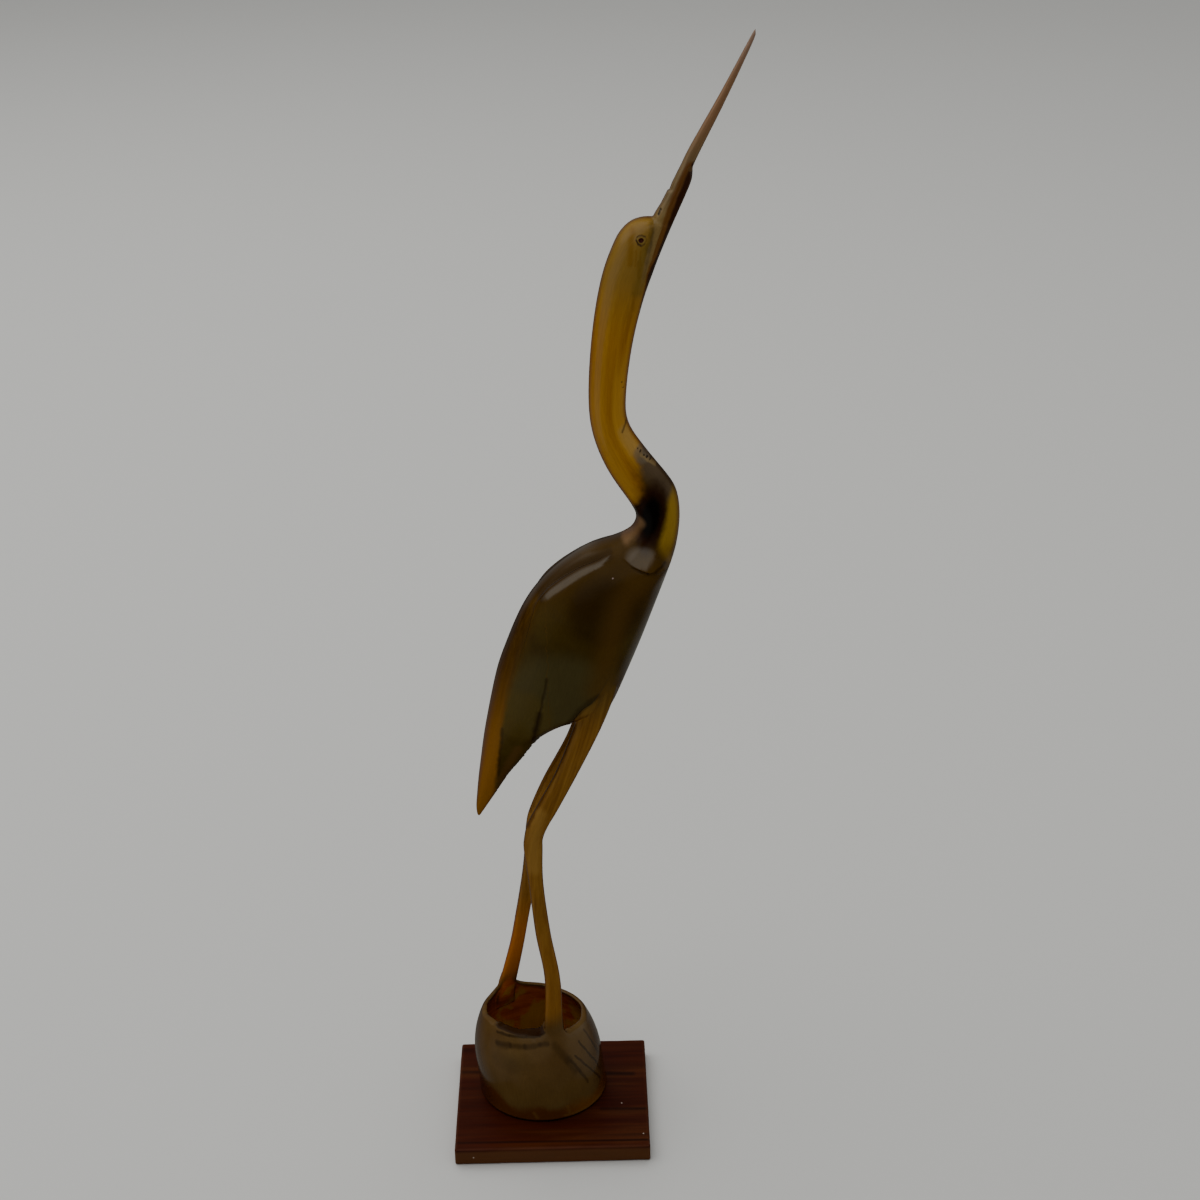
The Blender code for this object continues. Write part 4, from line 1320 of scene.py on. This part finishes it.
def painted_head(tree, colour, up, side_view, ragged, threads):
    """The tan bill, the dark throat, the olive cheek, and the carved eyes and nostrils."""
    crown = times(tree, spread(tree, up, 0.286, 0.312), 0.90)
    colour = laid_over(tree, crown, colour, (0.232, 0.1340, 0.0250))
    colour = marked(tree, side_view, colour, "ochre streaks of the head", "olive cheek")
    bill = toned(tree, threads, [
        (0.34, (0.128, 0.0800, 0.0300)), (0.52, (0.174, 0.1150, 0.0495)), (0.68, (0.212, 0.1440, 0.0685))])
    bill = coated(tree, bill,
                  (spread(tree, up, 0.3310, 0.3240), (0.235, 0.1520, 0.0500)),
                  (times(tree, spread(tree, up, 0.336, 0.356), 0.8), (0.260, 0.1300, 0.0640)),
                  (times(tree, spread(tree, up, 0.362, 0.379), 0.7), (0.285, 0.1850, 0.1380)))
    on_bill = times(tree, spread(tree, frayed(tree, "bill", ragged, 0.8), -0.25, 0.45),
                    spread(tree, up, 0.3010, 0.3170))
    colour = laid_over(tree, on_bill, colour, bill)
    colour = marked(tree, side_view, colour, "shade behind the bill")

    throat = frayed(tree, "throat", ragged, 0.7)
    jaw = spread(tree, up, 0.3420, 0.3405)
    wider = sums(tree, "ADD", throat, spread(tree, up, 0.306, 0.318, 0.0, 1.2))
    umber = times(tree, spread(tree, wider, -0.9, 0.0), spread(tree, up, 0.2820, 0.3020), jaw, 0.85)
    on_throat = times(tree, spread(tree, throat, -0.4, 0.6), spread(tree, up, 0.2960, 0.3080), jaw)
    band = times(tree, spread(tree, throat, 2.2, 2.9), spread(tree, up, 0.312, 0.326), jaw, 0.8)
    colour = coated(tree, colour,
                    (umber, (0.135, 0.0460, 0.0060)),
                    (times(tree, on_throat, 0.92), (0.029, 0.0090, 0.0040)),
                    (band, (0.062, 0.0250, 0.0140)))
    colour = marked(tree, side_view, colour, "blunt end of the lower bill", "nostril")

    away = vectors(tree, "DISTANCE", side_view, seen_at(*EYE))["Value"]
    away = sums(tree, "ADD", away, times(tree, ragged, 0.0003))
    iris = times(tree, spread(tree, away, 0.00150, 0.00120), 0.60)
    pupil = spread(tree, away, 0.00092, 0.00066)
    ring = times(tree, spread(tree, away, 0.00122, 0.00142), spread(tree, away, 0.00172, 0.00148))
    colour = coated(tree, colour,
                    (iris, (0.230, 0.1550, 0.0360)),
                    (pupil, (0.040, 0.0040, 0.0020)),
                    (times(tree, ring, 0.35), (0.060, 0.0300, 0.0060)))
    return marked(tree, side_view, colour, "arcs round the eye")


def painted_pot(tree, colour, up, wobble, ragged, cloud):
    """The pot's khaki outside with its drawn marks and stained foot, its orange-brown inside, a painted
    shadow under the rim's lip and painted shade where the foot meets the plinth.
    """
    round_pot = place_of(tree, "pot_place")
    turn, height, _ = put(tree, "ShaderNodeSeparateXYZ", {"Vector": round_pot}).outputs
    uneven = vectors(tree, "MULTIPLY", vectors(tree, "ADD", round_pot, wobble)[0], (1.0, 1.0, 0.0))[0]
    on_pot = spread(tree, up, 0.049, 0.040)
    khaki = toned(tree, cloud, [
        (0.34, (0.080, 0.0405, 0.0110)), (0.50, (0.100, 0.0540, 0.0155)), (0.66, (0.117, 0.0675, 0.0205))])
    low = spread(tree, height, 0.024, 0.010, 0.0, 0.5)
    khaki = laid_over(tree, low, khaki, (0.108, 0.0620, 0.0165))
    # The pot's dark marks, with a painted shadow under the rim's lip.
    khaki = marked_round_pot(tree, uneven, khaki, *POT_MARKS_AND_LIP_SHADOW)
    slow = times(tree, sums(tree, "SUBTRACT", cloud, 0.5), 0.010)
    waves = sums(tree, "ADD", slow, times(tree, ragged, 0.0015))
    stain = sums(tree, "SUBTRACT", sums(tree, "ADD", height, waves),
                 spread(tree, turn, -0.044, -0.058, 0.0, 0.0045))
    ruddy = laid_over(tree, spread(tree, turn, -0.030, -0.019), (0.080, 0.0215, 0.0034),
                      (0.150, 0.0500, 0.0050))
    khaki = laid_over(tree, spread(tree, stain, 0.0070, 0.0030, 0.0, 0.92), khaki, ruddy)
    khaki = marked_round_pot(tree, uneven, khaki, *FOOT_GLINTS)
    # Painted shade along the very foot of the pot, where it stands on the plinth.
    khaki = laid_over(tree, spread(tree, height, 0.0009, 0.0003), khaki, (0.008, 0.0030, 0.0015))
    lining = toned(tree, fibres_of(tree, round_pot, 0.0022, 6.0)["Broad"], [
        (0.32, (0.330, 0.0560, 0.0030)), (0.52, (0.460, 0.1000, 0.0045)), (0.70, (0.520, 0.1500, 0.0080))])
    patch = spread(tree, sums(tree, "ADD", cloud, times(tree, ragged, 0.2)), 0.52, 0.62, 0.0, 0.8)
    lining = laid_over(tree, patch, lining, (0.460, 0.2700, 0.0200))
    return coated(tree, colour,
                  (on_pot, khaki),
                  (times(tree, share_of(tree, "pot_inside"), on_pot), lining),
                  (times(tree, share_of(tree, "rim_top"), 0.92), (0.019, 0.0062, 0.0022)))


def polished_horn():
    """Translucent horn under a hand polish: painted colours, dark rims painted as shade along the outlines,
    growth lines and faint scratches.
    """
    made, tree, shader = new_material("polished horn")
    place = put(tree, "ShaderNodeTexCoord").outputs["Object"]
    _, sideways, up = put(tree, "ShaderNodeSeparateXYZ", {"Vector": place}).outputs
    wobble = scaled(tree, noise(tree, place, 420.0, 2.0)["Color"], 0.0010)
    wobble = vectors(tree, "SUBTRACT", wobble, (0.0005, 0.0005, 0.0005))[0]
    side_view = vectors(tree, "MULTIPLY", vectors(tree, "ADD", place, wobble)[0], (1.0, 0.0, 1.0))[0]
    run = place_of(tree, "horn_place")
    threads = fibres_of(tree, run, 0.0012, 24.0)
    cloud = noise(tree, place, 60.0, 3.0)["Fac"]
    ragged = sums(tree, "SUBTRACT", noise(tree, run, 380.0, 3.0)["Fac"], 0.5)
    colour = painted_body(tree, sideways, up, side_view, ragged, cloud, threads["Broad"])
    colour = painted_head(tree, colour, up, side_view, ragged, threads["Broad"])
    colour = painted_pot(tree, colour, up, wobble, ragged, cloud)
    colour = shaded(tree, colour, spread(tree, threads["Fine"], 0.3, 0.7, 0.90, 1.08))
    # Painted shade along the outlines: the colour darkens where the surface turns away from the camera.
    facing = put(tree, "ShaderNodeLayerWeight", {"Blend": 0.5}).outputs["Facing"]
    rim = spread(tree, facing, 0.36, 0.82, 0.0, 0.88)
    colour = laid_over(tree, rim, colour, (0.30, 0.17, 0.13), "MULTIPLY")
    tree.links.new(colour, shader.inputs["Base Color"])
    rough = sums(tree, "ADD", spread(tree, cloud, 0.3, 0.7, 0.15, 0.22), times(tree, ragged, 0.05))
    tree.links.new(rough, shader.inputs["Roughness"])
    shader.inputs["IOR"].default_value = 1.14
    polish = times(tree, share_of(tree, "polish"), spread(tree, cloud, 0.3, 0.7, 0.88, 1.0))
    tree.links.new(polish, shader.inputs["Coat Weight"])
    shader.inputs["Coat IOR"].default_value = 1.70
    shader.inputs["Coat Roughness"].default_value = 0.09
    scratch = put(tree, "ShaderNodeBump", {"Height": threads["Fine"], "Strength": 0.08, "Distance": 0.00008})
    tree.links.new(scratch.outputs["Normal"], shader.inputs["Normal"])
    return made


heron.data.materials.append(polished_horn())
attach(heron, "root")
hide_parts("horn_heron")

# Table, light and camera
# A plain pale table in the soft white light of a studio tent: bright above, behind and at both sides,
# and dark in front, where the tent is open and the camera stands.
TABLE_REACH = 6
corners = ((-1, -1), (1, -1), (1, 1), (-1, 1))
table = mesh_piece("table", [(across * TABLE_REACH, along * TABLE_REACH, 0) for across, along in corners],
                   [(0, 1, 2, 3)])
pale, _, matt = new_material("pale table")
matt.inputs["Base Color"].default_value = (0.62, 0.62, 0.605, 1)
matt.inputs["Roughness"].default_value = 0.9
table.data.materials.append(pale)
table.visible_glossy = False
# Towards the middle of a bright wall of the tent, its outer and inner reach in degrees, and its strength
LIGHTS = (
    ((-0.62, -0.05, 0.78), 46, 26, 0.75),
    ((0.05, -0.85, 0.50), 42, 16, 0.62),
    ((0.93, 0.05, 0.05), 42, 15, 0.30),
    ((-0.45, 0.83, 0.32), 36, 12, 0.29),
    ((-0.85, -0.50, -0.20), 40, 2, 0.36),
    ((-0.62, 0.50, -0.60), 40, 6, 0.18),
    ((0.45, 0.65, -0.60), 40, 15, 0.14),
)
WALL_BEHIND = 0.52


def tent_light():
    """Brightness by direction: even for the camera, bright walls in reflections, a soft dome for the rest."""
    made = bpy.data.worlds.new("light tent")
    made.use_nodes = True
    tree = made.node_tree
    sky = tree.nodes["Background"]
    direction = put(tree, "ShaderNodeTexCoord").outputs["Generated"]
    height = put(tree, "ShaderNodeSeparateXYZ", {"Vector": direction}).outputs["Z"]
    mirrored = spread(tree, height, -0.2, 0.3, 0.030, 0.045)
    for towards, outer, inner, strength in LIGHTS:
        facing = vectors(tree, "DOT_PRODUCT", direction, Vector(towards).normalized())["Value"]
        edge, core = (math.cos(math.radians(reach)) for reach in (outer, inner))
        lobe = spread(tree, facing, edge, core, 0.0, strength)
        mirrored = sums(tree, "ADD", mirrored, lobe)
    dome = spread(tree, height, -0.2, 0.7, 0.25, 0.46)
    ray = put(tree, "ShaderNodeLightPath").outputs
    shown = dome
    for seen_by, brightness in (("Is Glossy Ray", mirrored), ("Is Camera Ray", WALL_BEHIND)):
        change = times(tree, ray[seen_by], sums(tree, "SUBTRACT", brightness, dome))
        shown = sums(tree, "ADD", shown, change)
    tree.links.new(shown, sky.inputs["Strength"])
    tint = laid_over(tree, ray["Is Glossy Ray"], (1.0, 1.0, 0.985), (1.0, 0.97, 0.84))
    tree.links.new(tint, sky.inputs["Color"])
    return made


bpy.context.scene.world = tent_light()
softbox = bpy.data.lights.new("softbox", "AREA")
softbox.size = 2.4
softbox.energy = 28.0
softbox.color = (1.0, 0.995, 0.975)
lamp = placed("softbox", softbox)
lamp.location = (-0.60, 0.45, 1.75)
lamp.rotation_euler = (Vector((0, 0, 0.2)) - lamp.location).to_track_quat("-Z", "Y").to_euler()
lamp.visible_glossy = False

CAMERA_PLACE = Vector((0.0158, -0.6079, 0.4884))
CAMERA_TILT, CAMERA_YAW, CAMERA_ROLL = (math.radians(angle) for angle in (25.233, -0.425, -1.085))
level = Matrix.Rotation(CAMERA_YAW, 3, "Z")
forward = level @ Vector((0, math.cos(CAMERA_TILT), -math.sin(CAMERA_TILT)))
right = level @ Vector((1, 0, 0))
up = right.cross(forward)
rolled_right = math.cos(CAMERA_ROLL) * right + math.sin(CAMERA_ROLL) * up
rolled_up = math.cos(CAMERA_ROLL) * up - math.sin(CAMERA_ROLL) * right
lens = bpy.data.cameras.new("camera")
lens.lens = 63.0
lens.sensor_width = 36.0
camera = placed("camera", lens)
camera.matrix_world = Matrix.Translation(CAMERA_PLACE) @ Matrix(
    (rolled_right, rolled_up, -forward)).transposed().to_4x4()
bpy.context.scene.camera = camera
